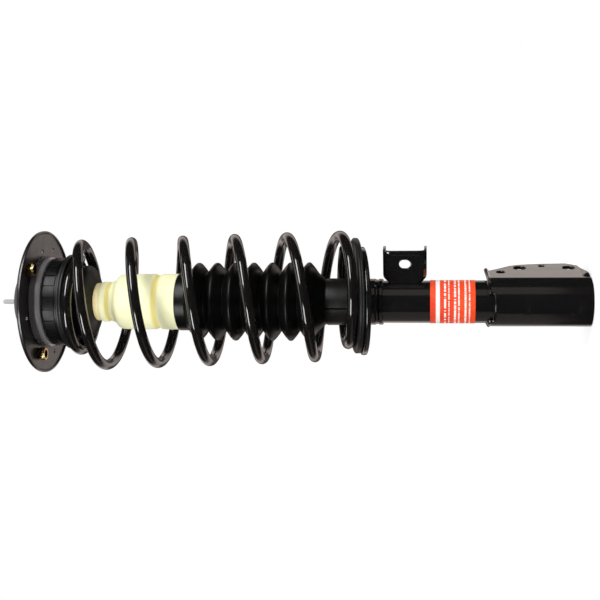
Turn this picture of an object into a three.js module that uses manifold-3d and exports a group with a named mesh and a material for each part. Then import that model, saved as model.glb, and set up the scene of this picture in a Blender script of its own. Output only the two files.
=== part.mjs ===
// Front suspension strut assembly: tower mount, strut bearing, coil spring, damper and its brackets.
// Millimetres, +Z up along the damper rod. The origin lies on that axis at the mount plate's top face.
// +X is the way the clevis ears point, and the clevis bolts run along Y.

import * as THREE from 'three';
import { mergeVertices } from 'three/addons/utils/BufferGeometryUtils.js';
import Module from 'manifold-3d';

const wasm = await Module();
wasm.setup();

// ---------- driving dimensions ----------

const GAP = 0.3; // clearance between neighbouring pieces
const ROUND = 24; // sides of a round piece, a multiple of 4 so that a corner lies on each axis

const PLATE_RADIUS = 87.5;
const PLATE_THICKNESS = 2.8;
const PLATE_LIP = 2.2; // depth of the rim's downturned lip below the plate
const DOME_HEIGHT = 25;
const DOME_TOP_RADIUS = 35;
const DOME_FOOT_RADIUS = 48;
const DOME_OPENING_RADIUS = 20;
const CUP_INSET = 30.5; // cup's wall from the plate's rim, clear of the stud nuts
const CUP_DEPTH = 12.9; // below the plate
const CUP_SHEET = 2;
const CUP_BORE_RADIUS = 26;

const STUD_INSET = 20.5; // stud circle from the plate's rim
const STUD_ANGLES = [-1.5, 125.5, -128.5];
const STUD_NUT_FLATS = 14;
const STUD_NUT_HEIGHT = 8;
const STUD_HOLE_RADIUS = 4.2;
const LOCATING_HOLES = [[25.5, -82], [17.5, -51], [18.5, 83], [24.5, 179]]; // inset from the rim, angle
const LOCATING_HOLE_RADIUS = 2.4;

const ROD_RADIUS = 10;
const THREAD_RADIUS = 7;
const DRIVE_TIP_RADIUS = 2.75;
const DRIVE_TIP_LENGTH = 29;
const ROD_NUT_FLATS = 22;
const ROD_NUT_HEIGHT = 12;
const ROD_WASHER_RADIUS = 19;
const ROD_WASHER_THICKNESS = 3;
const SLEEVE_RADIUS = 20;
const SLEEVE_RISE = 6; // inner sleeve's top above the tower face
const ROD_SHOULDER_DROP = 12.3; // rod's shoulder below the tower face

const RACE_INSET = 14; // from the housing's outside to the circle on which the balls run
const RACE_HALF_WIDTH = 6;
const RACE_THICKNESS = 3.5;
const RACE_GROOVE = 1.5;
const BALL_RADIUS = 3;
const BALL_COUNT = 18;
const CAGE_THICKNESS = 1;

const HOUSING_RADIUS = 54;
const HOUSING_HEIGHT = 19.5;
const HOUSING_WIDTH = 24; // from its outside to its bore
const HOUSING_WALL = 3;
const HOUSING_GROOVES = 24;
const HOUSING_GROOVE_WIDTH = 1.8;
const HOUSING_GROOVE_DEPTH = 1.3;
const HOUSING_GROOVE_MARGIN = 2.2; // from the groove's ends to the housing's

const SEAT_SHEET = 2.5;
const SEAT_HUB_DEPTH = 23; // straight part of the hub inside the spring's end coil
const SEAT_CONE_DEPTH = 7.5; // cone below it, down to the bump stop
const ISOLATOR_THICKNESS = 3.3;
const ISOLATOR_RIM = 4;

const WIRE_RADIUS = 6.35;
const COIL_PITCH = 64;
const ACTIVE_TURNS = 5.12;
const COIL_TOP_RADIUS = 75.3; // of the wire's centre line in the active turns
const COIL_FOOT_RADIUS = 72.5;
const TOP_END_RADIUS = 55.5;
const BOTTOM_END_RADIUS = 58;
const TOP_DEAD_TURNS = 0.95;
const BOTTOM_DEAD_TURNS = 0.8;
const TOP_BLEND_TURNS = 0.35; // turns over which the radius grows from the end coil's
const BOTTOM_BLEND_TURNS = 0.5;
const PITCH_BLEND_TURNS = 0.12;
const COIL_START_ANGLE = -73; // where the active turns begin
const LOOP_LEAN = 2.6; // of the first active turn, rising towards LOOP_LEAN_ANGLE
const LOOP_LEAN_ANGLE = 17.5;
const LEAN_TURNS = [-0.07, 0.13, 0.3, 1]; // starts, is full, begins to fade and ends
const TOP_CENTRE = [-1.5, 3.6];
const BOTTOM_CENTRE = [11.6, -3.8];
const STEPS_PER_TURN = 24;
const WIRE_SIDES = 6;

const SEAT_TILT = 10.3; // lower seat, rising towards SEAT_TILT_ANGLE
const SEAT_TILT_ANGLE = 10;
const TILT_GROWTH = 0.31; // the coils take up the seat's tilt by this power of their share of the length
const PAD_RADIUS = 70; // lower isolator
const PAD_THICKNESS = 8;
const PAD_LIP_HEIGHT = 5;
const PAN_RADIUS = 65;
const PAN_CENTRE = [5, 1];
const PAN_SHEET = 2.5;
const PAN_RIM_HEIGHT = 6;
const PAN_DISH_DEPTH = 8.5;
const COLLAR_RADIUS = 27.4;
const COLLAR_BELOW_SEAT = 38.1; // collar's foot below the seat's centre
const COLLAR_HEIGHT = 25;
const COLLAR_GROOVE = 0.9;

const BUMP_LENGTH = 129.5;
const BUMP_NECK_RADIUS = 20.8;
const BUMP_NECK_LENGTH = 7.5; // inside the seat's hub
const BUMP_COLLAR_RADIUS = 23.1;
const BUMP_UPPER_RADIUS = 24.6;
const BUMP_BODY_RADIUS = 34;
const BUMP_TAIL_RADIUS = 31.8; // inside the boot's cuff
const BUMP_TAIL_LENGTH = 16;
const BUMP_GROOVE_DEPTH = 2;

const BOOT_FOLDS = 7;
const BOOT_PEAK_RADIUS = 47.4;
const BOOT_VALLEY_RADIUS = 35.1;
const BOOT_WALL = 1.8;
const BOOT_CUFF_HEIGHT = 13;
const BOOT_CONE_HEIGHT = 10;

const TUBE_RADIUS = 25;
const TUBE_WALL = 2.5;
const TUBE_LENGTH = 305;
const TUBE_ABOVE_SEAT = 34.6;
const TUBE_CAP_THICKNESS = 3;
const BOOT_SLEEVE_RADIUS = 28;
const BOOT_SLEEVE_DROP = 5.7; // sleeve's top below the tube's top
const BOOT_SLEEVE_HEIGHT = 34;
const BOOT_SLEEVE_SLIT = 1.6;
const SEAL_THICKNESS = 4;
const GUIDE_THICKNESS = 22;
const CYLINDER_BORE_RADIUS = 16.3;
const CYLINDER_WALL = 1.7;
const BASE_VALVE_HEIGHT = 16;
const END_CAP_HEIGHT = 7;
const END_CAP_INSET = 2;
const REBOUND_CUSHION_HEIGHT = 8;
const REBOUND_STOP_HEIGHT = 5;
const REBOUND_RADIUS = 15.2;
const PISTON_DROP = 8; // from the rebound stop down to the piston
const PISTON_RADIUS = 15.6;
const PISTON_HEIGHT = 18;
const PISTON_PIN_RADIUS = 6;
const BAND_HEIGHT = 8;
const BAND_THICKNESS = 1.6;
const BAND_RUNNING_GAP = 0.18;
const PISTON_NUT_FLATS = 17;
const PISTON_NUT_HEIGHT = 8;

const CLEVIS_SHEET = 3.3;
const CLEVIS_HEIGHT = 118.2;
const CLEVIS_FOOT = 8; // clevis's foot below the tube's end
const CLEVIS_REACH = 62.5; // ear tips from the strut's axis
const CLEVIS_RECESS_WIDTH = 31.6;
const CLEVIS_RECESS_DEPTH = 7.5;
const LIP_HEIGHT = 4.5;
const LIP_FLARE = 7; // of the ears' upper lips
const WRAP_LIP_FLARE = 2; // of the same lip round the back of the tube
const LIP_REACH = 28;
const LOWER_LIP_HEIGHT = 3.5;
const LOWER_LIP_FLARE = 3;
const KNUCKLE_BOLT_RADIUS = 7;
const KNUCKLE_BOLT_REACH = 42.5; // bolt holes from the strut's axis
const KNUCKLE_BOLT_HEIGHTS = [21, 78.5]; // above the clevis's foot
const TOOLING_HOLES = [[24.6, 102, 4.7], [50.4, 52, 3.2]]; // reach, height, radius
const DIMPLE_RADIUS = 5.2;
const DIMPLE_DEPTH = 1.3;

const LINK_DROP = 38.4; // link bracket's top edge below the seat's centre
const LINK_WIDTH = 51;
const LINK_FOOT_WIDTH = 39;
const LINK_REACH = 65.5; // from the strut's axis
const LINK_PLATE_X = -6.6; // outer face of its back plate
const LINK_SHEET = 3;
const LINK_WALL_DEPTH = 21.5;
const LINK_WALL_FOOT_DEPTH = 10;
const LINK_TAPER_HEIGHT = 9; // foot's taper above the tube
const LINK_SLOT_REACH = 47.8;
const LINK_SLOT_RADIUS = 5.2;
const LINK_SLOT_LENGTH = 14.5;

const LABEL_BELOW_LINK = 4; // label's top edge below the link bracket
const LABEL_ABOVE_CLEVIS = 14.8; // label's bottom edge above the clevis
const LABEL_THICKNESS = 0.3;

// ---------- radii and heights worked out from them ----------

const cupRadius = PLATE_RADIUS - CUP_INSET;
const raceRadius = HOUSING_RADIUS - RACE_INSET;
const housingBoreRadius = HOUSING_RADIUS - HOUSING_WIDTH;
const isolatorBoreRadius = HOUSING_RADIUS + GAP; // its upturned rim goes round the seat's edge
const isolatorRadius = isolatorBoreRadius + ISOLATOR_RIM;

const plateUnderZ = -PLATE_THICKNESS;
const cupTopZ = plateUnderZ - GAP;
const cupUnderZ = plateUnderZ - CUP_DEPTH;
const upperRaceTopZ = cupUnderZ - GAP;
const upperRaceUnderZ = upperRaceTopZ - RACE_THICKNESS;
const grooveSlope = RACE_GROOVE / (RACE_HALF_WIDTH / 2);
const ballReach = (BALL_RADIUS + GAP) * Math.sqrt(1 + grooveSlope * grooveSlope);
const ballZ = upperRaceUnderZ + RACE_GROOVE - ballReach;
const lowerRaceTopZ = ballZ - ballReach + RACE_GROOVE;
const lowerRaceUnderZ = lowerRaceTopZ - RACE_THICKNESS;
const housingTopZ = cupUnderZ - 5 * GAP;
const housingUnderZ = housingTopZ - HOUSING_HEIGHT;
const housingFloorZ = lowerRaceUnderZ - GAP;
const upperSeatTopZ = housingUnderZ - GAP;
const upperSeatUnderZ = upperSeatTopZ - SEAT_SHEET;
const isolatorTopZ = upperSeatUnderZ - GAP;
const isolatorUnderZ = isolatorTopZ - ISOLATOR_THICKNESS;
const hubRadius = TOP_END_RADIUS - WIRE_RADIUS - Math.hypot(...TOP_CENTRE) - 2 * GAP;
const hubUnderZ = upperSeatUnderZ - SEAT_HUB_DEPTH;
const coneUnderZ = hubUnderZ - SEAT_CONE_DEPTH;
const coilTopZ = isolatorUnderZ - GAP - WIRE_RADIUS;

const tilt = THREE.MathUtils.degToRad(SEAT_TILT);
const tiltAngle = THREE.MathUtils.degToRad(SEAT_TILT_ANGLE);
const loopLean = THREE.MathUtils.degToRad(LOOP_LEAN);
const loopLeanAngle = THREE.MathUtils.degToRad(LOOP_LEAN_ANGLE);
const coilBottomZ = coilTopZ - COIL_PITCH * ACTIVE_TURNS;
const seatZ = coilBottomZ - WIRE_RADIUS / Math.cos(tilt);

const tubeTopZ = seatZ + TUBE_ABOVE_SEAT;
const tubeUnderZ = tubeTopZ - TUBE_LENGTH;
const tubeBoreRadius = TUBE_RADIUS - TUBE_WALL;
const onTube = TUBE_RADIUS + GAP;
const inTube = tubeBoreRadius - GAP;
const sleeveTopZ = tubeTopZ - BOOT_SLEEVE_DROP;
const guideTopZ = tubeTopZ - SEAL_THICKNESS - GAP;
const guideUnderZ = guideTopZ - GUIDE_THICKNESS;
const endCapTopZ = tubeUnderZ + END_CAP_INSET + END_CAP_HEIGHT;
const baseValveUnderZ = endCapTopZ + GAP;
const baseValveTopZ = baseValveUnderZ + BASE_VALVE_HEIGHT;
const cushionTopZ = guideUnderZ - GAP;
const reboundStopTopZ = cushionTopZ - REBOUND_CUSHION_HEIGHT - GAP;
const pistonTopZ = reboundStopTopZ - REBOUND_STOP_HEIGHT - PISTON_DROP;
const pistonUnderZ = pistonTopZ - PISTON_HEIGHT;
const pistonNutTopZ = pistonUnderZ - GAP;
const rodEndZ = pistonNutTopZ - PISTON_NUT_HEIGHT - 3;

const bumpTopZ = coneUnderZ - GAP + BUMP_NECK_LENGTH;
const bumpUnderZ = bumpTopZ - BUMP_LENGTH;
const bootTopZ = bumpUnderZ + BUMP_TAIL_LENGTH + 2;
const bootUnderZ = sleeveTopZ + GAP;

const clevisFootZ = tubeUnderZ - CLEVIS_FOOT;
const clevisTopZ = clevisFootZ + CLEVIS_HEIGHT;
const clevisRadius = onTube + CLEVIS_SHEET;
const linkTopZ = seatZ - LINK_DROP;
const labelTopZ = linkTopZ - LINK_WIDTH - LABEL_BELOW_LINK;
const labelUnderZ = clevisTopZ + LABEL_ABOVE_CLEVIS;

// ---------- solids ----------

/** A closed geometry with shared vertices, no flat triangles and its faces outwards. */
function closed(geometry) {
  const bare = geometry.index ? geometry.toNonIndexed() : geometry.clone();
  bare.deleteAttribute('normal');
  bare.deleteAttribute('uv');
  const merged = mergeVertices(bare, 1e-4);
  const index = merged.index.array;
  const place = merged.attributes.position;
  const kept = [];
  const corner = [0, 1, 2].map(() => new THREE.Vector3());
  let volume = 0;
  for (let i = 0; i < index.length; i += 3) {
    const [a, b, c] = [index[i], index[i + 1], index[i + 2]];
    if (a === b || b === c || c === a) continue;
    corner.forEach((v, n) => v.fromBufferAttribute(place, index[i + n]));
    volume += corner[0].dot(corner[1].clone().cross(corner[2]));
    kept.push(a, b, c);
  }
  merged.setIndex(volume < 0 ? kept.reverse() : kept);
  return merged;
}

/** A solid that can be joined and cut. */
function solid(geometry) {
  const shape = closed(geometry);
  return new wasm.Manifold(new wasm.Mesh({
    numProp: 3,
    vertProperties: new Float32Array(shape.attributes.position.array),
    triVerts: new Uint32Array(shape.index.array),
  }));
}

function fromSolid(body) {
  const mesh = body.getMesh();
  const geometry = new THREE.BufferGeometry();
  geometry.setAttribute('position', new THREE.BufferAttribute(mesh.vertProperties, 3));
  geometry.setIndex(new THREE.BufferAttribute(mesh.triVerts, 1));
  return geometry;
}

/** The first geometry less the others. */
function cut(geometry, ...tools) {
  return fromSolid(tools.reduce((body, tool) => body.subtract(solid(tool)), solid(geometry)));
}

function join(geometry, ...others) {
  return fromSolid(others.reduce((body, other) => body.add(solid(other)), solid(geometry)));
}

function common(geometry, other) {
  return fromSolid(solid(geometry).intersect(solid(other)));
}

/** A ring about Z from its section's corners [radius, height]; one that meets the axis stays open there. */
function turned(corners, sides = ROUND) {
  const onAxis = corners[0][0] === 0;
  const loop = onAxis ? corners : [...corners, corners[0]];
  const geometry = new THREE.LatheGeometry(loop.map(([r, z]) => new THREE.Vector2(r, z)), sides);
  return closed(geometry.rotateX(Math.PI / 2));
}

/** A plain ring between two radii and two heights. */
function ring(inner, outer, low, high) {
  return turned([[inner, low], [outer, low], [outer, high], [inner, high]]);
}

function box(low, high) {
  const size = high.map((v, n) => v - low[n]);
  const middle = high.map((v, n) => (v + low[n]) / 2);
  return new THREE.BoxGeometry(...size).translate(...middle);
}

/** A cylinder along an axis, centred on a point. */
function drum(radius, length, axis, at, sides = 20) {
  const geometry = new THREE.CylinderGeometry(radius, radius, length, sides);
  if (axis === 'z') geometry.rotateX(Math.PI / 2);
  if (axis === 'x') geometry.rotateZ(Math.PI / 2);
  return geometry.translate(...at);
}

/** A flat outline [x, y] made thick along Z, from a low height. */
function slab(outline, low, thickness, holes = []) {
  const shape = new THREE.Shape(outline.map(([x, y]) => new THREE.Vector2(x, y)));
  shape.holes.push(...holes);
  return new THREE.ExtrudeGeometry(shape, { depth: thickness, bevelEnabled: false }).translate(0, 0, low);
}

/** A hexagon nut about Z with a plain bore. */
function hexNut(flats, height, boreRadius) {
  const across = flats / Math.sqrt(3);
  const nut = new THREE.CylinderGeometry(across, across, height, 6).rotateX(Math.PI / 2);
  return cut(nut, drum(boreRadius, height + 2, 'z', [0, 0, 0], 16)).translate(0, 0, height / 2);
}

/** A body through sections, which are rings of as many corners each, with flat ends. */
function lofted(sections) {
  const sides = sections[0].length;
  const at = (n, side) => n * sides + (side % sides);
  const faces = [];
  for (let n = 0; n + 1 < sections.length; n += 1) {
    for (let side = 0; side < sides; side += 1) {
      faces.push(at(n, side), at(n, side + 1), at(n + 1, side + 1));
      faces.push(at(n, side), at(n + 1, side + 1), at(n + 1, side));
    }
  }
  const last = sections.length - 1;
  for (let side = 1; side + 1 < sides; side += 1) {
    faces.push(at(0, 0), at(0, side + 1), at(0, side));
    faces.push(at(last, 0), at(last, side), at(last, side + 1));
  }
  const geometry = new THREE.BufferGeometry().setFromPoints(sections.flat());
  geometry.setIndex(faces);
  return closed(geometry);
}

function polar(radius, degrees) {
  const angle = THREE.MathUtils.degToRad(degrees);
  return [radius * Math.cos(angle), radius * Math.sin(angle)];
}

// ---------- the scene graph ----------

const strut = new THREE.Group();

const finishes = {
  gloss_black: { color: 0x0c0c0d, roughness: 0.22, metalness: 0.1 },
  rubber: { color: 0x151515, roughness: 0.75, metalness: 0 },
  bellows: { color: 0x111112, roughness: 0.45, metalness: 0 },
  dark_plastic: { color: 0x3b3c3e, roughness: 0.55, metalness: 0 },
  zinc: { color: 0xb9a573, roughness: 0.3, metalness: 1 },
  steel: { color: 0xb8babd, roughness: 0.3, metalness: 1 },
  chrome: { color: 0xd9dbde, roughness: 0.08, metalness: 1 },
  sintered: { color: 0x6f7072, roughness: 0.6, metalness: 0.8 },
  urethane: { color: 0xfaf5c3, roughness: 0.55, metalness: 0 },
  band: { color: 0x4a3b2c, roughness: 0.5, metalness: 0 },
  label_red: { color: 0xee5a36, roughness: 0.4, metalness: 0 },
};

function part(name, geometry, finish, parent = strut) {
  const shaded = geometry.toNonIndexed();
  shaded.computeVertexNormals();
  const mesh = new THREE.Mesh(shaded, new THREE.MeshStandardMaterial(finishes[finish]));
  mesh.name = name;
  parent.add(mesh);
  return mesh;
}

// ---------- tower mount ----------

function mountPlate() {
  const inner = DOME_TOP_RADIUS - PLATE_THICKNESS + 1;
  const crownZ = DOME_HEIGHT - PLATE_THICKNESS;
  const plate = turned([
    [DOME_OPENING_RADIUS, DOME_HEIGHT],
    [DOME_TOP_RADIUS - 2, DOME_HEIGHT],
    [DOME_TOP_RADIUS + 1, DOME_HEIGHT - 2],
    [DOME_FOOT_RADIUS - 3, 2.5],
    [DOME_FOOT_RADIUS, 0],
    [PLATE_RADIUS - 3, 0],
    [PLATE_RADIUS, -1.2],
    [PLATE_RADIUS, plateUnderZ - PLATE_LIP],
    [PLATE_RADIUS - PLATE_THICKNESS + 0.5, plateUnderZ - PLATE_LIP],
    [PLATE_RADIUS - PLATE_THICKNESS, plateUnderZ],
    [DOME_FOOT_RADIUS - 1, plateUnderZ],
    [DOME_FOOT_RADIUS - 5.5, 1.4],
    [inner + 0.6, crownZ - 0.8],
    [inner - 1, crownZ],
    [DOME_OPENING_RADIUS, crownZ],
  ], 1.5 * ROUND);
  const hole = (radius, inset, angle, sides) => (
    drum(radius, 5 * PLATE_THICKNESS, 'z', [...polar(PLATE_RADIUS - inset, angle), 0], sides)
  );
  const studHoles = STUD_ANGLES.map((angle) => hole(STUD_HOLE_RADIUS, STUD_INSET, angle, 16));
  const small = LOCATING_HOLES.map(([inset, angle]) => hole(LOCATING_HOLE_RADIUS, inset, angle, 12));
  return cut(plate, ...studHoles, ...small);
}

function mountCup() {
  const floorZ = cupUnderZ + CUP_SHEET;
  return turned([
    [cupRadius - CUP_SHEET, cupTopZ],
    [cupRadius - CUP_SHEET, floorZ + 1],
    [cupRadius - CUP_SHEET - 1, floorZ],
    [CUP_BORE_RADIUS, floorZ],
    [CUP_BORE_RADIUS, cupUnderZ],
    [cupRadius - 2.5, cupUnderZ],
    [cupRadius - 0.8, cupUnderZ + 0.8],
    [cupRadius, cupUnderZ + 2.5],
    [cupRadius, cupTopZ],
  ]);
}

function mountRubber() {
  const bore = SLEEVE_RADIUS + GAP;
  const floorZ = cupUnderZ + CUP_SHEET + GAP;
  const wall = cupRadius - CUP_SHEET - GAP;
  return turned([
    [bore, floorZ],
    [wall - 1.5, floorZ],
    [wall, floorZ + 2],
    [wall, plateUnderZ - 1.5],
    [DOME_FOOT_RADIUS - 4, plateUnderZ - GAP],
    [DOME_FOOT_RADIUS - 7, 1],
    [DOME_TOP_RADIUS - 4, SLEEVE_RISE - 1],
    [bore + 4, SLEEVE_RISE - 1],
    [bore, SLEEVE_RISE - 2],
  ]);
}

function pistonRod() {
  const threadTopZ = SLEEVE_RISE + 2 * GAP + ROD_WASHER_THICKNESS + ROD_NUT_HEIGHT + 1.5;
  return turned([
    [0, threadTopZ + DRIVE_TIP_LENGTH],
    [DRIVE_TIP_RADIUS - 0.6, threadTopZ + DRIVE_TIP_LENGTH],
    [DRIVE_TIP_RADIUS, threadTopZ + DRIVE_TIP_LENGTH - 0.8],
    [DRIVE_TIP_RADIUS, threadTopZ],
    [THREAD_RADIUS - 1, threadTopZ],
    [THREAD_RADIUS, threadTopZ - 1],
    [THREAD_RADIUS, -ROD_SHOULDER_DROP],
    [ROD_RADIUS, -ROD_SHOULDER_DROP],
    [ROD_RADIUS, pistonTopZ + GAP],
    [PISTON_PIN_RADIUS, pistonTopZ + GAP],
    [PISTON_PIN_RADIUS, rodEndZ],
    [0, rodEndZ],
  ]);
}

part('mount_plate', mountPlate(), 'gloss_black');
part('mount_cup', mountCup(), 'gloss_black');
part('mount_rubber', mountRubber(), 'rubber');
part('mount_sleeve', ring(THREAD_RADIUS + GAP, SLEEVE_RADIUS, GAP - ROD_SHOULDER_DROP, SLEEVE_RISE), 'steel');
part('rod_washer', ring(THREAD_RADIUS + GAP, ROD_WASHER_RADIUS, 0, ROD_WASHER_THICKNESS), 'steel')
  .position.z = SLEEVE_RISE + GAP;
part('rod_nut', hexNut(ROD_NUT_FLATS, ROD_NUT_HEIGHT, THREAD_RADIUS + GAP), 'steel')
  .position.z = SLEEVE_RISE + ROD_WASHER_THICKNESS + 2 * GAP;
STUD_ANGLES.forEach((angle, n) => {
  const nut = part(`mount_nut_${n + 1}`, hexNut(STUD_NUT_FLATS, STUD_NUT_HEIGHT, STUD_HOLE_RADIUS), 'zinc');
  nut.position.set(...polar(PLATE_RADIUS - STUD_INSET, angle), plateUnderZ - GAP - STUD_NUT_HEIGHT);
  nut.rotation.z = THREE.MathUtils.degToRad(angle);
});
part('piston_rod', pistonRod(), 'chrome');

// ---------- strut bearing ----------

/** A race about Z; its groove faces down, or up if flipped. */
function race(topZ, grooveUp) {
  const groove = [
    [raceRadius - RACE_HALF_WIDTH / 2, 0],
    [raceRadius, RACE_GROOVE],
    [raceRadius + RACE_HALF_WIDTH / 2, 0],
  ];
  const grooved = grooveUp ? groove.map(([r, z]) => [r, RACE_THICKNESS - z]) : groove;
  const faceZ = grooveUp ? RACE_THICKNESS : 0;
  const backZ = RACE_THICKNESS - faceZ;
  const inner = raceRadius - RACE_HALF_WIDTH;
  const outer = raceRadius + RACE_HALF_WIDTH;
  const corners = [[inner, faceZ], ...grooved, [outer, faceZ], [outer, backZ], [inner, backZ]];
  return turned(corners).translate(0, 0, topZ - RACE_THICKNESS);
}

function ballCage() {
  const cage = ring(raceRadius - BALL_RADIUS + 0.4, raceRadius + BALL_RADIUS - 0.4, -CAGE_THICKNESS / 2, CAGE_THICKNESS / 2);
  const balls = [];
  for (let n = 0; n < BALL_COUNT; n += 1) {
    const ball = new THREE.SphereGeometry(BALL_RADIUS, 6, 4).rotateX(Math.PI / 2);
    balls.push(ball.translate(...polar(raceRadius, (360 / BALL_COUNT) * n), 0));
  }
  return join(cage, ...balls);
}

function bearingHousing() {
  const bore = raceRadius + RACE_HALF_WIDTH + 2 * GAP;
  const pocketTopZ = housingFloorZ - HOUSING_WALL;
  const body = turned([
    [bore, housingTopZ],
    [HOUSING_RADIUS - 0.8, housingTopZ],
    [HOUSING_RADIUS, housingTopZ - 0.8],
    [HOUSING_RADIUS, housingUnderZ],
    [HOUSING_RADIUS - HOUSING_WALL, housingUnderZ],
    [HOUSING_RADIUS - HOUSING_WALL, pocketTopZ],
    [housingBoreRadius + HOUSING_WALL, pocketTopZ],
    [housingBoreRadius + HOUSING_WALL, housingUnderZ],
    [housingBoreRadius, housingUnderZ],
    [housingBoreRadius, housingFloorZ],
    [bore, housingFloorZ],
  ]);
  const reach = HOUSING_RADIUS * 1.1;
  const grooves = [];
  for (let n = 0; n < HOUSING_GROOVES; n += 1) {
    const groove = box(
      [HOUSING_RADIUS - HOUSING_GROOVE_DEPTH, -HOUSING_GROOVE_WIDTH / 2, housingUnderZ + 2 * HOUSING_GROOVE_MARGIN],
      [reach, HOUSING_GROOVE_WIDTH / 2, housingTopZ - HOUSING_GROOVE_MARGIN],
    );
    grooves.push(groove.rotateZ(((2 * Math.PI) / HOUSING_GROOVES) * (n + 0.5)));
  }
  return cut(body, ...grooves);
}

part('bearing_upper_race', race(upperRaceTopZ, false), 'steel');
part('ball_cage', ballCage(), 'steel').position.z = ballZ;
part('bearing_lower_race', race(lowerRaceTopZ, true), 'steel');
part('bearing_housing', bearingHousing(), 'dark_plastic');

// ---------- upper spring seat ----------

function upperSpringSeat() {
  const bore = BUMP_NECK_RADIUS + GAP;
  const inner = hubRadius - SEAT_SHEET;
  return turned([
    [housingBoreRadius, upperSeatTopZ],
    [HOUSING_RADIUS, upperSeatTopZ],
    [HOUSING_RADIUS, upperSeatUnderZ],
    [hubRadius, upperSeatUnderZ],
    [hubRadius, hubUnderZ],
    [hubRadius - 5.5, hubUnderZ - SEAT_CONE_DEPTH / 3],
    [bore + SEAT_SHEET + 0.5, coneUnderZ],
    [bore, coneUnderZ],
    [bore, coneUnderZ + SEAT_SHEET],
    [hubRadius - 7, hubUnderZ - SEAT_CONE_DEPTH / 3 + SEAT_SHEET],
    [inner, hubUnderZ + 1],
    [inner, upperSeatUnderZ],
    [housingBoreRadius, upperSeatUnderZ],
  ]);
}

function upperIsolator() {
  const bore = hubRadius + GAP;
  return turned([
    [bore, isolatorTopZ],
    [isolatorBoreRadius, isolatorTopZ],
    [isolatorBoreRadius, upperSeatTopZ],
    [isolatorRadius - 1, upperSeatTopZ],
    [isolatorRadius, upperSeatTopZ - 1],
    [isolatorRadius, isolatorUnderZ + 1],
    [isolatorRadius - 1, isolatorUnderZ],
    [bore, isolatorUnderZ],
  ]);
}

part('upper_spring_seat', upperSpringSeat(), 'gloss_black');
part('upper_isolator', upperIsolator(), 'rubber');

// ---------- coil spring ----------

const smooth = (t) => THREE.MathUtils.smoothstep(t, 0, 1);
const mix = THREE.MathUtils.lerp;

/** Rises from 0 at a steady rate once t passes 0, with a rounded start. */
function softRamp(t) {
  if (t < -PITCH_BLEND_TURNS) return 0;
  if (t > PITCH_BLEND_TURNS) return t;
  return (t + PITCH_BLEND_TURNS) ** 2 / (4 * PITCH_BLEND_TURNS);
}

/** How much of the first loop's lean the wire has at a turn, from 0 to 1. */
function leanShare(turn) {
  const [starts, full, fades, ends] = LEAN_TURNS;
  const grown = THREE.MathUtils.smoothstep(turn, starts, full);
  return grown * (1 - THREE.MathUtils.smoothstep(turn, fades, ends));
}

/** The wire's centre line at a turn; 0 is where the active turns begin and ACTIVE_TURNS where they end. */
function coilPoint(turn) {
  const climbed = softRamp(turn) - softRamp(turn - ACTIVE_TURNS);
  const share = climbed / ACTIVE_TURNS;
  const fromTop = smooth((turn - PITCH_BLEND_TURNS / 2) / TOP_BLEND_TURNS + 1);
  const toBottom = smooth((turn - ACTIVE_TURNS + PITCH_BLEND_TURNS) / BOTTOM_BLEND_TURNS);
  const active = mix(COIL_TOP_RADIUS, COIL_FOOT_RADIUS, share);
  const radius = mix(mix(TOP_END_RADIUS, active, fromTop), BOTTOM_END_RADIUS, toBottom);
  const angle = THREE.MathUtils.degToRad(COIL_START_ANGLE - 360 * turn);
  const x = radius * Math.cos(angle);
  const y = radius * Math.sin(angle);
  const towards = (way) => x * Math.cos(way) + y * Math.sin(way);
  const rise = Math.tan(tilt) * share ** TILT_GROWTH * towards(tiltAngle);
  const lean = Math.tan(loopLean) * leanShare(turn) * towards(loopLeanAngle);
  return new THREE.Vector3(
    x + mix(TOP_CENTRE[0], BOTTOM_CENTRE[0], share),
    y + mix(TOP_CENTRE[1], BOTTOM_CENTRE[1], share),
    coilTopZ - COIL_PITCH * climbed + rise + lean,
  );
}

/** One unbroken tube through a list of points, with flat ends. */
function wireAlong(points, radius, sides) {
  return lofted(points.map((point, n) => {
    const ahead = points[Math.min(n + 1, points.length - 1)];
    const behind = points[Math.max(n - 1, 0)];
    const along = ahead.clone().sub(behind).normalize();
    const outward = new THREE.Vector3(point.x, point.y, 0).addScaledVector(along, -along.dot(point)).normalize();
    const across = along.clone().cross(outward).normalize();
    const level = across.clone().cross(along);
    const ring = [];
    for (let side = 0; side < sides; side += 1) {
      const turn = (2 * Math.PI * side) / sides;
      const corner = point.clone().addScaledVector(level, radius * Math.cos(turn));
      ring.push(corner.addScaledVector(across, radius * Math.sin(turn)));
    }
    return ring;
  }));
}

function coilLine() {
  const first = -TOP_DEAD_TURNS;
  const whole = TOP_DEAD_TURNS + ACTIVE_TURNS + BOTTOM_DEAD_TURNS;
  const steps = Math.round(whole * STEPS_PER_TURN);
  const line = [];
  for (let n = 0; n <= steps; n += 1) line.push(coilPoint(first + (whole * n) / steps));
  const startWay = line[0].clone().sub(line[1]).setLength(2 * WIRE_RADIUS);
  const endWay = line[steps].clone().sub(line[steps - 1]).setLength(2 * WIRE_RADIUS);
  line.unshift(line[0].clone().add(startWay));
  line.push(line[line.length - 1].clone().add(endWay));
  return line;
}

/** The least gap between two stretches of wire that lie half a turn or more apart. */
function leastCoilGap(line) {
  const apart = Math.round(STEPS_PER_TURN / 2);
  let least = Infinity;
  for (let a = 0; a < line.length; a += 1) {
    for (let b = a + apart; b < line.length; b += 1) least = Math.min(least, line[a].distanceTo(line[b]));
  }
  return least - 2 * WIRE_RADIUS;
}

const wireLine = coilLine();
console.log(`coil_spring: least gap to itself ${leastCoilGap(wireLine).toFixed(2)} mm`);
part('coil_spring', wireAlong(wireLine, WIRE_RADIUS, WIRE_SIDES), 'gloss_black');

// ---------- bump stop and dust boot ----------

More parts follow.
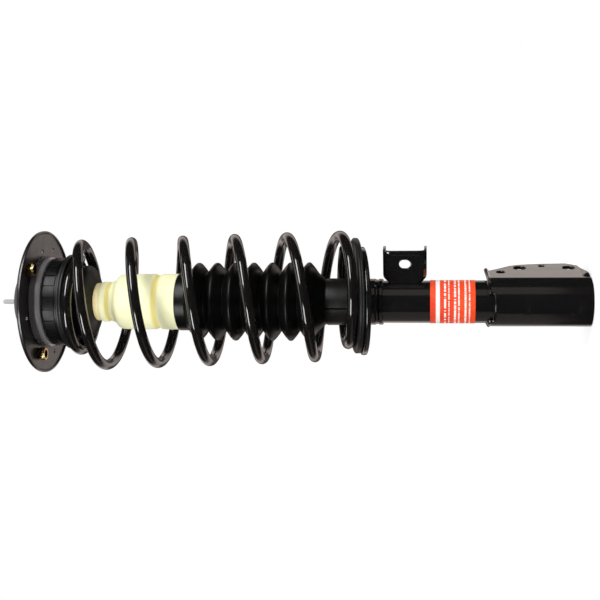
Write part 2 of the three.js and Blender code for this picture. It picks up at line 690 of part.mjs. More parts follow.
function bumpStop() {
  const bore = ROD_RADIUS + 2 * GAP;
  const collarZ = coneUnderZ - GAP;
  const down = (r, drop) => [r, collarZ - drop];
  return turned([
    [bore, bumpTopZ],
    [BUMP_NECK_RADIUS, bumpTopZ],
    [BUMP_NECK_RADIUS, collarZ],
    down(BUMP_COLLAR_RADIUS, 0),
    down(BUMP_COLLAR_RADIUS, 6.5),
    down(BUMP_UPPER_RADIUS, 8),
    down(BUMP_UPPER_RADIUS, 15),
    down(BUMP_UPPER_RADIUS - BUMP_GROOVE_DEPTH, 17.5),
    down(BUMP_UPPER_RADIUS, 20),
    down(BUMP_UPPER_RADIUS + 0.8, 25),
    down(BUMP_BODY_RADIUS - 2, 30),
    down(BUMP_BODY_RADIUS, 33),
    down(BUMP_BODY_RADIUS, 74),
    down(BUMP_BODY_RADIUS - BUMP_GROOVE_DEPTH, 77.5),
    down(BUMP_BODY_RADIUS - BUMP_GROOVE_DEPTH, 80),
    down(BUMP_BODY_RADIUS, 83),
    [BUMP_BODY_RADIUS, bootTopZ + GAP],
    [BUMP_TAIL_RADIUS, bootTopZ + GAP],
    [BUMP_TAIL_RADIUS, bumpUnderZ + 3],
    [BUMP_TAIL_RADIUS - 4, bumpUnderZ],
    [bore, bumpUnderZ],
  ]);
}

function dustBoot() {
  const foldTopZ = bootTopZ - BOOT_CUFF_HEIGHT;
  const foldUnderZ = bootUnderZ + BOOT_CONE_HEIGHT;
  const foldPitch = (foldTopZ - foldUnderZ) / BOOT_FOLDS;
  const cuff = BUMP_TAIL_RADIUS + GAP;
  const foot = onTube;
  const outer = [[cuff + BOOT_WALL * 1.6, bootTopZ], [cuff + BOOT_WALL * 1.6, foldTopZ + 1]];
  const inner = [[cuff, bootTopZ], [cuff, foldTopZ]];
  for (let fold = 0; fold < BOOT_FOLDS; fold += 1) {
    const peakZ = foldTopZ - foldPitch * (fold + 0.5);
    const valleyZ = foldTopZ - foldPitch * (fold + 1);
    outer.push([BOOT_PEAK_RADIUS, peakZ]);
    outer.push([BOOT_VALLEY_RADIUS, valleyZ]);
    inner.push([BOOT_PEAK_RADIUS - BOOT_WALL, peakZ]);
    inner.push([BOOT_VALLEY_RADIUS - BOOT_WALL, valleyZ]);
  }
  outer.push([foot + BOOT_WALL, bootUnderZ + 1], [foot + BOOT_WALL, bootUnderZ]);
  inner.push([foot, bootUnderZ + 1], [foot, bootUnderZ]);
  return turned([...outer, ...inner.reverse()]);
}

part('bump_stop', bumpStop(), 'urethane');
part('dust_boot', dustBoot(), 'bellows');

// ---------- lower spring seat ----------

const seat = new THREE.Group();
seat.position.set(...BOTTOM_CENTRE, seatZ);
seat.quaternion.setFromAxisAngle(new THREE.Vector3(Math.sin(tiltAngle), -Math.cos(tiltAngle), 0), tilt);
strut.add(seat);
seat.updateMatrix();
const intoSeat = seat.matrix.clone().invert();

function lowerIsolator() {
  const lipRadius = BOTTOM_END_RADIUS - WIRE_RADIUS - 1.2;
  const foot = -GAP - PAD_THICKNESS;
  return turned([
    [lipRadius - 4, foot],
    [lipRadius - 4, PAD_LIP_HEIGHT - 1],
    [lipRadius - 3, PAD_LIP_HEIGHT],
    [lipRadius - 1, PAD_LIP_HEIGHT],
    [lipRadius, PAD_LIP_HEIGHT - 1],
    [lipRadius, -GAP],
    [PAD_RADIUS - 5, -GAP],
    [PAD_RADIUS - 3, -1],
    [PAD_RADIUS - 0.8, -2],
    [PAD_RADIUS, -4],
    [PAD_RADIUS, foot + 2.5],
    [PAD_RADIUS - 1.5, foot],
  ]);
}

function lowerSpringSeat() {
  const top = -2 * GAP - PAD_THICKNESS;
  const bend = BOTTOM_END_RADIUS - WIRE_RADIUS - 6;
  const dishTop = top - PAN_DISH_DEPTH;
  const pan = turned([
    [TUBE_RADIUS - 10, dishTop],
    [bend - 7, dishTop + 2],
    [bend, top],
    [PAN_RADIUS - 3, top],
    [PAN_RADIUS - 0.8, top - 0.8],
    [PAN_RADIUS, top - 2.2],
    [PAN_RADIUS, top - PAN_RIM_HEIGHT + 1.4],
    [PAN_RADIUS - 1.4, top - PAN_RIM_HEIGHT],
    [PAN_RADIUS - PAN_SHEET - 1.4, top - PAN_RIM_HEIGHT],
    [PAN_RADIUS - PAN_SHEET - 1.4, top - PAN_SHEET],
    [bend + 1.2, top - PAN_SHEET],
    [bend - 5.6, dishTop - PAN_SHEET + 2],
    [TUBE_RADIUS - 10, dishTop - PAN_SHEET],
  ]).translate(PAN_CENTRE[0] - BOTTOM_CENTRE[0], PAN_CENTRE[1] - BOTTOM_CENTRE[1], 0);
  const aroundCollar = drum(COLLAR_RADIUS + GAP, 90, 'z', [0, 0, seatZ], ROUND).applyMatrix4(intoSeat);
  return cut(pan, aroundCollar);
}

function seatCollar() {
  const foot = seatZ - COLLAR_BELOW_SEAT;
  const bead = COLLAR_HEIGHT / 6;
  return turned([
    [onTube, foot],
    [COLLAR_RADIUS - 0.6, foot],
    [COLLAR_RADIUS, foot + 0.8],
    [COLLAR_RADIUS, foot + bead],
    [COLLAR_RADIUS - COLLAR_GROOVE, foot + bead + 1.2],
    [COLLAR_RADIUS - COLLAR_GROOVE, foot + 2 * bead],
    [COLLAR_RADIUS, foot + 2 * bead + 1.2],
    [COLLAR_RADIUS, foot + COLLAR_HEIGHT],
    [onTube, foot + COLLAR_HEIGHT],
  ]);
}

part('lower_isolator', lowerIsolator(), 'rubber', seat);
part('lower_spring_seat', lowerSpringSeat(), 'gloss_black', seat);
part('seat_collar', seatCollar(), 'gloss_black');

// ---------- damper ----------

function bootSleeve() {
  const sleeve = turned([
    [onTube, -BOOT_SLEEVE_HEIGHT],
    [BOOT_SLEEVE_RADIUS, -BOOT_SLEEVE_HEIGHT],
    [BOOT_SLEEVE_RADIUS, -0.8],
    [BOOT_SLEEVE_RADIUS - 0.8, 0],
    [onTube, 0],
  ]);
  const slit = box(
    [-BOOT_SLEEVE_RADIUS - 2, -BOOT_SLEEVE_SLIT / 2, -BOOT_SLEEVE_HEIGHT - 1],
    [-TUBE_RADIUS / 2, BOOT_SLEEVE_SLIT / 2, 1],
  );
  return cut(sleeve, slit);
}

function tubeCap() {
  const foot = tubeTopZ + GAP;
  return turned([
    [ROD_RADIUS + GAP, foot],
    [TUBE_RADIUS - 0.5, foot],
    [TUBE_RADIUS - 0.5, foot + TUBE_CAP_THICKNESS - 1.5],
    [TUBE_RADIUS - 2.5, foot + TUBE_CAP_THICKNESS],
    [ROD_RADIUS + GAP, foot + TUBE_CAP_THICKNESS],
  ]);
}

function baseValve() {
  return turned([
    [0, baseValveTopZ],
    [CYLINDER_BORE_RADIUS - 2, baseValveTopZ],
    [CYLINDER_BORE_RADIUS + CYLINDER_WALL, baseValveTopZ - 1],
    [inTube - 1, baseValveTopZ - 5],
    [inTube - 1, baseValveUnderZ + 2],
    [inTube - 4, baseValveUnderZ],
    [0, baseValveUnderZ],
  ]);
}

function tubeEndCap() {
  const foot = tubeUnderZ + END_CAP_INSET;
  return turned([
    [0, endCapTopZ],
    [inTube - 3, endCapTopZ],
    [inTube, endCapTopZ - 2],
    [inTube, foot],
    [inTube - 2.5, foot],
    [inTube - 5, foot + 2.5],
    [0, foot + 2.5],
  ]);
}

function piston() {
  const groove = PISTON_RADIUS - BAND_THICKNESS;
  const middleZ = (pistonTopZ + pistonUnderZ) / 2;
  const half = BAND_HEIGHT / 2 + GAP;
  return turned([
    [PISTON_PIN_RADIUS + GAP, pistonTopZ],
    [PISTON_RADIUS - 1, pistonTopZ],
    [PISTON_RADIUS, pistonTopZ - 1],
    [PISTON_RADIUS, middleZ + half],
    [groove, middleZ + half],
    [groove, middleZ - half],
    [PISTON_RADIUS, middleZ - half],
    [PISTON_RADIUS, pistonUnderZ + 1],
    [PISTON_RADIUS - 1, pistonUnderZ],
    [PISTON_PIN_RADIUS + GAP, pistonUnderZ],
  ]);
}

function pistonBand() {
  const middleZ = (pistonTopZ + pistonUnderZ) / 2;
  const inner = PISTON_RADIUS - BAND_THICKNESS + GAP;
  return ring(inner, CYLINDER_BORE_RADIUS - BAND_RUNNING_GAP, middleZ - BAND_HEIGHT / 2, middleZ + BAND_HEIGHT / 2);
}

const onRod = ROD_RADIUS + GAP;
part('rebound_cushion', ring(onRod, REBOUND_RADIUS, cushionTopZ - REBOUND_CUSHION_HEIGHT, cushionTopZ), 'rubber');
part('rebound_stop', ring(onRod, REBOUND_RADIUS, reboundStopTopZ - REBOUND_STOP_HEIGHT, reboundStopTopZ), 'steel');
part('piston', piston(), 'sintered');
part('piston_band', pistonBand(), 'band');
part('piston_nut', hexNut(PISTON_NUT_FLATS, PISTON_NUT_HEIGHT, PISTON_PIN_RADIUS + GAP), 'steel')
  .position.z = pistonNutTopZ - PISTON_NUT_HEIGHT;
part('tube_cap', tubeCap(), 'steel');
part('rod_seal', ring(onRod, inTube, guideTopZ + GAP, tubeTopZ), 'rubber');
part('rod_guide', ring(onRod, inTube, guideUnderZ, guideTopZ), 'sintered');
part('strut_tube', ring(tubeBoreRadius, TUBE_RADIUS, tubeUnderZ, tubeTopZ), 'gloss_black');
part('pressure_tube', ring(
  CYLINDER_BORE_RADIUS,
  CYLINDER_BORE_RADIUS + CYLINDER_WALL,
  baseValveTopZ + GAP,
  guideUnderZ - GAP,
), 'steel');
part('base_valve', baseValve(), 'sintered');
part('tube_end_cap', tubeEndCap(), 'gloss_black');
part('boot_sleeve', bootSleeve(), 'dark_plastic').position.z = sleeveTopZ;

// ---------- brackets and label on the tube ----------

/** The clevis's wall seen along Z: a half round behind the tube and two straight ears in front. */
function clevisWall(inner, outer, reach, low, high) {
  const wall = ring(inner, outer, low, high);
  const back = common(wall, box([-2 * outer, -2 * outer, low - 1], [0, 2 * outer, high + 1]));
  const ears = [-1, 1].map((side) => {
    const ys = [side * inner, side * outer].sort((a, b) => a - b);
    return box([-0.01, ys[0], low], [reach, ys[1], high]);
  });
  return join(back, ...ears);
}

/** The lip that leans out along the clevis's top edge, slight round the tube and wider along each ear. */
function upperLip() {
  const sheet = CLEVIS_SHEET * 0.8;
  const rootZ = clevisTopZ - 1;
  const edgeZ = clevisTopZ + LIP_HEIGHT;
  const section = (flare) => [
    [clevisRadius - sheet, rootZ],
    [clevisRadius, rootZ],
    [clevisRadius + flare, edgeZ],
    [clevisRadius + flare - sheet, edgeZ],
  ];
  const round = turned(section(WRAP_LIP_FLARE));
  return [-1, 1].flatMap((side) => {
    const ys = [side * CLEVIS_RECESS_WIDTH / 2, side * 3 * clevisRadius].sort((a, b) => a - b);
    const wrap = common(round, box([-CLEVIS_RECESS_WIDTH, ys[0], rootZ - 1], [0, ys[1], edgeZ + 1]));
    const ear = lofted([0, 1 / 3, 2 / 3, 1].map((share) => (
      section(mix(WRAP_LIP_FLARE, LIP_FLARE, share)).map(([y, z]) => (
        new THREE.Vector3(share * LIP_REACH - 0.01, side * y, z)
      ))
    )));
    return [wrap, ear];
  });
}

function clevisBracket() {
  const wall = clevisWall(onTube, clevisRadius, CLEVIS_REACH, clevisFootZ, clevisTopZ);
  const up = (x, height) => [x, clevisFootZ + height];
  const outline = slab([
    [-clevisRadius - 1, clevisFootZ - 1],
    up(0, 0),
    up(CLEVIS_REACH - 24, 5.5),
    up(CLEVIS_REACH - 11.5, 7),
    up(CLEVIS_REACH, 22),
    up(CLEVIS_REACH, 30),
    up(CLEVIS_REACH - 1.5, 53),
    up(CLEVIS_REACH - 5.5, 77.5),
    up(CLEVIS_REACH - 10.5, 90),
    up(CLEVIS_REACH - 21.5, 102.5),
    up(LIP_REACH + 1, CLEVIS_HEIGHT),
    [-clevisRadius - 1, clevisTopZ + 1],
  ], -2 * clevisRadius, 4 * clevisRadius).rotateX(Math.PI / 2);
  const recess = box(
    [-2 * clevisRadius, -CLEVIS_RECESS_WIDTH / 2, clevisTopZ - CLEVIS_RECESS_DEPTH],
    [0, CLEVIS_RECESS_WIDTH / 2, clevisTopZ + LIP_HEIGHT + 1],
  );
  const across = 4 * clevisRadius;
  const bolts = KNUCKLE_BOLT_HEIGHTS.map((h) => (
    drum(KNUCKLE_BOLT_RADIUS, across, 'y', [KNUCKLE_BOLT_REACH, 0, clevisFootZ + h], 24)
  ));
  const tooling = TOOLING_HOLES.map(([reach, h, r]) => drum(r, across, 'y', [reach, 0, clevisFootZ + h], 14));
  const dimples = KNUCKLE_BOLT_HEIGHTS.map((h) => {
    const cone = new THREE.CylinderGeometry(DIMPLE_RADIUS, DIMPLE_RADIUS / 2, 2 * DIMPLE_DEPTH, 16);
    return cone.rotateZ(Math.PI / 2).translate(-clevisRadius, 0, clevisFootZ + h - 2);
  });
  const lowerLips = [-1, 1].map((side) => {
    const section = [
      [side * (clevisRadius - 1), clevisFootZ + 7],
      [side * clevisRadius, clevisFootZ + 9],
      [side * (clevisRadius + LOWER_LIP_FLARE), clevisFootZ + LOWER_LIP_HEIGHT + 1],
      [side * (clevisRadius + LOWER_LIP_FLARE - 2), clevisFootZ + LOWER_LIP_HEIGHT],
    ];
    return slab(section, 4, CLEVIS_REACH - 22).rotateX(Math.PI / 2).rotateZ(Math.PI / 2);
  });
  const trimmed = cut(common(wall, outline), recess);
  return cut(join(trimmed, ...upperLip(), ...lowerLips), ...bolts, ...tooling, ...dimples);
}

function linkBracket() {
  const topZ = 0;
  const lowZ = -LINK_WIDTH;
  const inset = (LINK_WIDTH - LINK_FOOT_WIDTH) / 2;
  const bendY = -TUBE_RADIUS - LINK_TAPER_HEIGHT;
  // The tray seen along X: [y, z]. It narrows towards its foot on the tube.
  const face = [
    [-LINK_REACH, lowZ],
    [bendY, lowZ],
    [-TUBE_RADIUS, lowZ + inset],
    [-TUBE_RADIUS / 2, lowZ + inset],
    [-TUBE_RADIUS / 2, topZ - inset],
    [-TUBE_RADIUS, topZ - inset],
    [bendY, topZ],
    [-LINK_REACH, topZ],
  ];
  const inner = face.map(([y, z]) => [y, z < -LINK_WIDTH / 2 ? z + LINK_SHEET : z - LINK_SHEET]);
  inner[0][0] = -2 * LINK_REACH;
  inner[7][0] = -2 * LINK_REACH;
  const alongX = (outline, low, thickness) => (
    slab(outline, low, thickness).rotateX(Math.PI / 2).rotateZ(Math.PI / 2)
  );
  const tray = alongX(face, LINK_PLATE_X, LINK_WALL_DEPTH);
  const hollow = alongX(inner, LINK_PLATE_X + LINK_SHEET, 2 * LINK_WALL_DEPTH);
  const slant = slab([
    [LINK_PLATE_X + LINK_WALL_DEPTH, -LINK_REACH + 8],
    [LINK_PLATE_X + LINK_WALL_DEPTH + 1, -LINK_REACH + 8],
    [LINK_PLATE_X + LINK_WALL_DEPTH + 1, 0],
    [LINK_PLATE_X + LINK_WALL_FOOT_DEPTH, 0],
    [LINK_PLATE_X + LINK_WALL_FOOT_DEPTH, bendY],
  ], lowZ - 1, LINK_WIDTH + 2);
  const half = (LINK_SLOT_LENGTH - 2 * LINK_SLOT_RADIUS) / 2;
  const slot = [-half, half].map((z) => (
    drum(LINK_SLOT_RADIUS, 40, 'x', [LINK_PLATE_X, -LINK_SLOT_REACH, z - LINK_WIDTH / 2], 20)
  ));
  const between = box(
    [LINK_PLATE_X - 20, -LINK_SLOT_REACH - LINK_SLOT_RADIUS, -LINK_WIDTH / 2 - half],
    [LINK_PLATE_X + 20, -LINK_SLOT_REACH + LINK_SLOT_RADIUS, -LINK_WIDTH / 2 + half],
  );
  const aroundTube = drum(onTube, 3 * LINK_WIDTH, 'z', [0, 0, -LINK_WIDTH / 2], ROUND);
  return cut(tray, hollow, slant, ...slot, between, aroundTube);
}

part('clevis_bracket', clevisBracket(), 'gloss_black');
part('link_bracket', linkBracket(), 'gloss_black').position.z = linkTopZ;
part('label', ring(onTube, onTube + LABEL_THICKNESS, labelUnderZ, labelTopZ), 'label_red');

export default strut;
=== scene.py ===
import math

import bmesh
import bpy
import numpy as np
from mathutils import Matrix, Vector
from mathutils.geometry import delaunay_2d_cdt


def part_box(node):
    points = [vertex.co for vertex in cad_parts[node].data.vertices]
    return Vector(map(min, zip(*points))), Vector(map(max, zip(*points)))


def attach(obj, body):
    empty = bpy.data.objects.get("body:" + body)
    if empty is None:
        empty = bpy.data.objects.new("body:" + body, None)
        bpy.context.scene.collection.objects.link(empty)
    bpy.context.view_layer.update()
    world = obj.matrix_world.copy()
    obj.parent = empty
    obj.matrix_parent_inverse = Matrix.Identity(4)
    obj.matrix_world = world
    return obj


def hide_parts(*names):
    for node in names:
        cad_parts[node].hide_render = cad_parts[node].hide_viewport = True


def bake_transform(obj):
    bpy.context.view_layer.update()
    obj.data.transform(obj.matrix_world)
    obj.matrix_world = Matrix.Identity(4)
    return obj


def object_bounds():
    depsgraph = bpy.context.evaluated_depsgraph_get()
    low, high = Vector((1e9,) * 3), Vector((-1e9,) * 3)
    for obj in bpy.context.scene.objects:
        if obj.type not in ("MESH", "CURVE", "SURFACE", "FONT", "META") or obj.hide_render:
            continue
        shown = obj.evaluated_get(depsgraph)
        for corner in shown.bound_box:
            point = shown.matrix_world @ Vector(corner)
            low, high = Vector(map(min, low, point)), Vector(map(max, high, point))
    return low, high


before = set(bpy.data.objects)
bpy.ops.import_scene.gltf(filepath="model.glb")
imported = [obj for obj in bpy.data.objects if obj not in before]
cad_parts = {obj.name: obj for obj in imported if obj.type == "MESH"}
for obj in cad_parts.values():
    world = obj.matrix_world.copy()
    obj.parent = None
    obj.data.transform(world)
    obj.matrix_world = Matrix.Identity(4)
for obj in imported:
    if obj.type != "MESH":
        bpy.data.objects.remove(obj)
cad_low, cad_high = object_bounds()

# The strut's looks over its CAD pieces. Sizes are in millimetres until a mesh is made, but for the studio's, which are
# in metres. Z runs along the damper rod, towards the tower.
MM = 0.001
CLEARANCE = 0.3  # between a piece and the one it sits against


def ends(node):
    """The heights of a CAD node's foot and top."""
    low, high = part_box(node)
    return low.z / MM, high.z / MM


def foot(node):
    return ends(node)[0]


def top(node):
    return ends(node)[1]


def link(name, data):
    """An object in the scene that shows a mesh, a light or a camera."""
    made = bpy.data.objects.new(name, data)
    bpy.context.scene.collection.objects.link(made)
    return made


# ---------- camera ----------

STRUT_ROLL = math.radians(17.5)  # how far the ears' side is turned away from the view
CAMERA_DISTANCE = 1207
CAMERA_LIFT = 2  # above the rod's axis in the picture
CAMERA_Z = -477
CAMERA_YAW = math.radians(7.33)  # towards the tower from square to the rod
LENS = 60.6

to_camera = Vector((-math.cos(STRUT_ROLL), -math.sin(STRUT_ROLL), 0))
picture_up = Vector((math.sin(STRUT_ROLL), -math.cos(STRUT_ROLL), 0))
to_tower = Vector((0, 0, 1))


def make_camera():
    forward = to_tower * math.sin(CAMERA_YAW) - to_camera * math.cos(CAMERA_YAW)
    right = forward.cross(picture_up)
    place = to_camera * CAMERA_DISTANCE + picture_up * CAMERA_LIFT + to_tower * CAMERA_Z
    camera = link("camera", bpy.data.cameras.new("camera"))
    camera.data.lens = LENS
    camera.data.sensor_width = 36
    camera.data.clip_start = 0.05
    camera.data.clip_end = 50
    turn = Matrix((right, picture_up, -forward)).transposed()
    camera.matrix_world = Matrix.Translation(place * MM) @ turn.to_4x4()
    bpy.context.scene.camera = camera


# ---------- meshes ----------

CORNER_STEPS = 4  # faces round each softened corner
ON_AXIS = 1e-6  # a corner nearer to Z than this lies on it
DRILL_LENGTH = 20
SHEET_EDGE = 0.6  # how far a sheet's edges are rounded


def smooth(t):
    t = min(1, max(0, t))
    return t * t * (3 - 2 * t)


def mix(a, b, t):
    return a + (b - a) * t


def polar(radius, degrees):
    angle = math.radians(degrees)
    return radius * math.cos(angle), radius * math.sin(angle)


def mesh_object(name, corners, faces):
    """An object from corners in millimetres."""
    mesh = bpy.data.meshes.new(name)
    mesh.from_pydata([[v * MM for v in corner] for corner in corners], [], faces)
    return link(name, mesh)


def piece(name, corners, faces, finish, body, node):
    """A visible piece that stands for a CAD node. It rides on a body, or on none."""
    made = mesh_object(name, corners, faces)
    made.data.validate()
    repaint(made, finish)
    if body:
        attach(made, body)
    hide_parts(node)
    return made


def repaint(made, finish):
    made.data.materials.clear()
    made.data.materials.append(FINISHES[finish])
    shade(made)


def paint_part(made, finish, wanted):
    """Gives a second finish to the faces whose middle (x, y, z) is wanted."""
    made.data.materials.append(FINISHES[finish])
    for face in made.data.polygons:
        face.material_index = int(wanted(*(v / MM for v in face.center)))


def shade(made, sharp=38):
    """Smooth shading that breaks at edges sharper than an angle."""
    work = bmesh.new()
    work.from_mesh(made.data)
    bmesh.ops.remove_doubles(work, verts=work.verts, dist=1e-7)
    bmesh.ops.recalc_face_normals(work, faces=work.faces)
    for face in work.faces:
        face.smooth = True
    for edge in work.edges:
        edge.smooth = len(edge.link_faces) == 2 and edge.calc_face_angle(0) < math.radians(sharp)
    work.to_mesh(made.data)
    work.free()


def soften(corners, radius):
    """The same closed outline with each corner rounded. A corner may carry its own radius as a third value."""
    points = [Vector(corner[:2]) for corner in corners]
    softer = []
    for n, point in enumerate(points):
        own = corners[n][2] if len(corners[n]) > 2 else radius
        before, after = points[n - 1], points[(n + 1) % len(points)]
        start = point + (before - point).normalized() * min(own, (before - point).length * 0.45)
        end = point + (after - point).normalized() * min(own, (after - point).length * 0.45)
        for step in range(CORNER_STEPS + 1):
            t = step / CORNER_STEPS
            softer.append(tuple((1 - t) ** 2 * start + 2 * t * (1 - t) * point + t * t * end))
    return softer


def skin(rows, width, closed=True):
    """Faces that join rows of corners, each row a loop. The last row meets the first, or else both ends are capped."""
    faces = []
    for row in range(rows if closed else rows - 1):
        here, there = row * width, (row + 1) % rows * width
        faces += [(here + n, there + n, there + (n + 1) % width, here + (n + 1) % width) for n in range(width)]
    if not closed:
        faces += [tuple(range(width)), tuple(range((rows - 1) * width, rows * width))]
    return faces


def turned(outline, sides=96):
    """Corners and faces of a ring about Z with a closed outline [radius, height]; points on the axis meet."""
    corners = []
    for side in range(sides):
        angle = 2 * math.pi * side / sides
        corners += [(r * math.cos(angle), r * math.sin(angle), z) for r, z in outline]
    faces = skin(sides, len(outline))
    return corners, [face for face in faces if any(math.hypot(*corners[n][:2]) > ON_AXIS for n in face)]


def lathed(name, outline, finish, body, node, rounding=0.6, sides=96):
    """A piece turned about Z, with the corners of its outline rounded."""
    return piece(name, *turned(soften(outline, rounding), sides), finish, body, node)


def drill(radius, length, centre, sides=40):
    """Corners and faces of a cylinder along Z."""
    corners = []
    for end in (-length / 2, length / 2):
        for n in range(sides):
            angle = 2 * math.pi * n / sides
            corners.append((radius * math.cos(angle) + centre[0], radius * math.sin(angle) + centre[1],
                            end + centre[2]))
    return corners, skin(2, sides, closed=False)


def cut(made, finish, drills):
    """Cuts drills out of a piece, which takes its finish anew."""
    for corners, faces in drills:
        tool = mesh_object("tool", corners, faces)
        shade(tool)
        modifier = made.modifiers.new("cut", "BOOLEAN")
        modifier.object = tool
        modifier.solver = "EXACT"
        deps = bpy.context.evaluated_depsgraph_get()
        deps.update()
        mesh = bpy.data.meshes.new_from_object(made.evaluated_get(deps))
        made.modifiers.clear()
        made.data = mesh
        tool_mesh = tool.data
        bpy.data.objects.remove(tool)
        bpy.data.meshes.remove(tool_mesh)
    repaint(made, finish)


def pairs(loop):
    """Each point of a closed loop with the next."""
    return zip(loop, loop[1:] + loop[:1])


def inside(point, loop):
    """Whether a point lies inside a closed loop of points."""
    x, y = point
    found = False
    for (x0, y0), (x1, y1) in pairs(loop):
        if (y0 > y) != (y1 > y) and x < x0 + (y - y0) / (y1 - y0) * (x1 - x0):
            found = not found
    return found


def dense(loop, step):
    """A loop with points no further apart than a step."""
    points = []
    for (x0, y0), (x1, y1) in pairs(loop):
        parts = max(1, math.ceil(math.hypot(x1 - x0, y1 - y0) / step))
        points += [(x0 + (x1 - x0) * n / parts, y0 + (y1 - y0) * n / parts) for n in range(parts)]
    return points


def circle(x, y, radius, sides=28, stretch=0):
    """A round hole's loop; stretch draws it out along the first direction."""
    loop = []
    for n in range(sides):
        angle = 2 * math.pi * (n + 0.5) / sides
        shift = math.copysign(stretch / 2, math.cos(angle))
        loop.append((x + shift + radius * math.cos(angle), y + radius * math.sin(angle)))
    return loop


def clockwise(loop):
    return sum((x1 - x0) * (y1 + y0) for (x0, y0), (x1, y1) in pairs(loop)) > 0


def shrunk(loop, inset):
    """A loop moved to its left by an inset at every corner."""
    moved = []
    for n, (x, y) in enumerate(loop):
        (x0, y0), (x1, y1) = loop[n - 1], loop[(n + 1) % len(loop)]
        way = Vector((x1 - x0, y1 - y0)).normalized()
        moved.append((x - way.y * inset, y + way.x * inset))
    return moved


def sheet_metal(name, outline, holes, place, thickness, node, step, spots=()):
    """A bent sheet with rounded edges, on the strut body. place(s, h) bends a flat outline with holes into its inner
    face, thickness(s, h) is laid on outwards, step spaces its points, and spots are further flat points to follow."""
    rims = []
    for n, loop in enumerate([outline] + list(holes)):
        loop = dense(loop, step) if n == 0 else list(loop)
        rims.append(loop[::-1] if clockwise(loop) == (n == 0) else loop)
    insets = [shrunk(loop, SHEET_EDGE) for loop in rims]

    def on_sheet(point):
        return inside(point, insets[0]) and not any(inside(point, hole) for hole in insets[1:])

    points, edges = [], []
    for loop in insets:
        first = len(points)
        points += loop
        edges += [(first + n, first + (n + 1) % len(loop)) for n in range(len(loop))]
    border = np.array(points)
    low, high = border.min(0), border.max(0)
    taken = np.array(list(spots)) if len(spots) else border[:1]
    grid = [(float(s), float(h)) for s in np.arange(low[0] + step / 2, high[0], step)
            for h in np.arange(low[1] + step / 2, high[1], step)
            if np.hypot(taken[:, 0] - s, taken[:, 1] - h).min() > step * 0.5]
    for spot in grid + list(spots):
        clear = np.hypot(border[:, 0] - spot[0], border[:, 1] - spot[1]).min() > step * 0.4
        if clear and on_sheet(spot):
            points.append(spot)
    flat, _, fills, origins, *_ = delaunay_2d_cdt([Vector(p) for p in points], edges, [], 0, 1e-7)
    came = {origin: n for n, group in enumerate(origins) for origin in group}

    def at(s, h, share):
        tiny = 0.05
        across = Vector(place(s + tiny, h)) - Vector(place(s - tiny, h))
        along = Vector(place(s, h + tiny)) - Vector(place(s, h - tiny))
        out = across.cross(along).normalized()
        return Vector(place(s, h)) + out * share * thickness(s, h)

    count = len(flat)
    corners = [at(*p, 0) for p in flat] + [at(*p, 1) for p in flat]
    faces = []
    for fill in fills:
        middle = tuple(sum((flat[n] for n in fill), Vector((0, 0))) / len(fill))
        if on_sheet(middle):
            faces += [fill, [n + count for n in fill][::-1]]
    first = 0
    for rim, inset in zip(rims, insets):
        size = len(rim)
        rows = [[came[first + n] for n in range(size)]]
        middles = [((x + a) / 2, (y + b) / 2) for (x, y), (a, b) in zip(rim, inset)]
        for loop, share in ((middles, 0.05), (rim, 0.2), (rim, 0.8), (middles, 0.95)):
            rows.append(list(range(len(corners), len(corners) + size)))
            corners += [at(*p, share) for p in loop]
        rows.append([n + count for n in rows[0]])
        for lower, upper in zip(rows, rows[1:]):
            faces += [(lower[n], lower[(n + 1) % size], upper[(n + 1) % size], upper[n]) for n in range(size)]
        first += size
    piece(name, corners, faces, "black_paint", "strut_body", node)


# ---------- finishes ----------


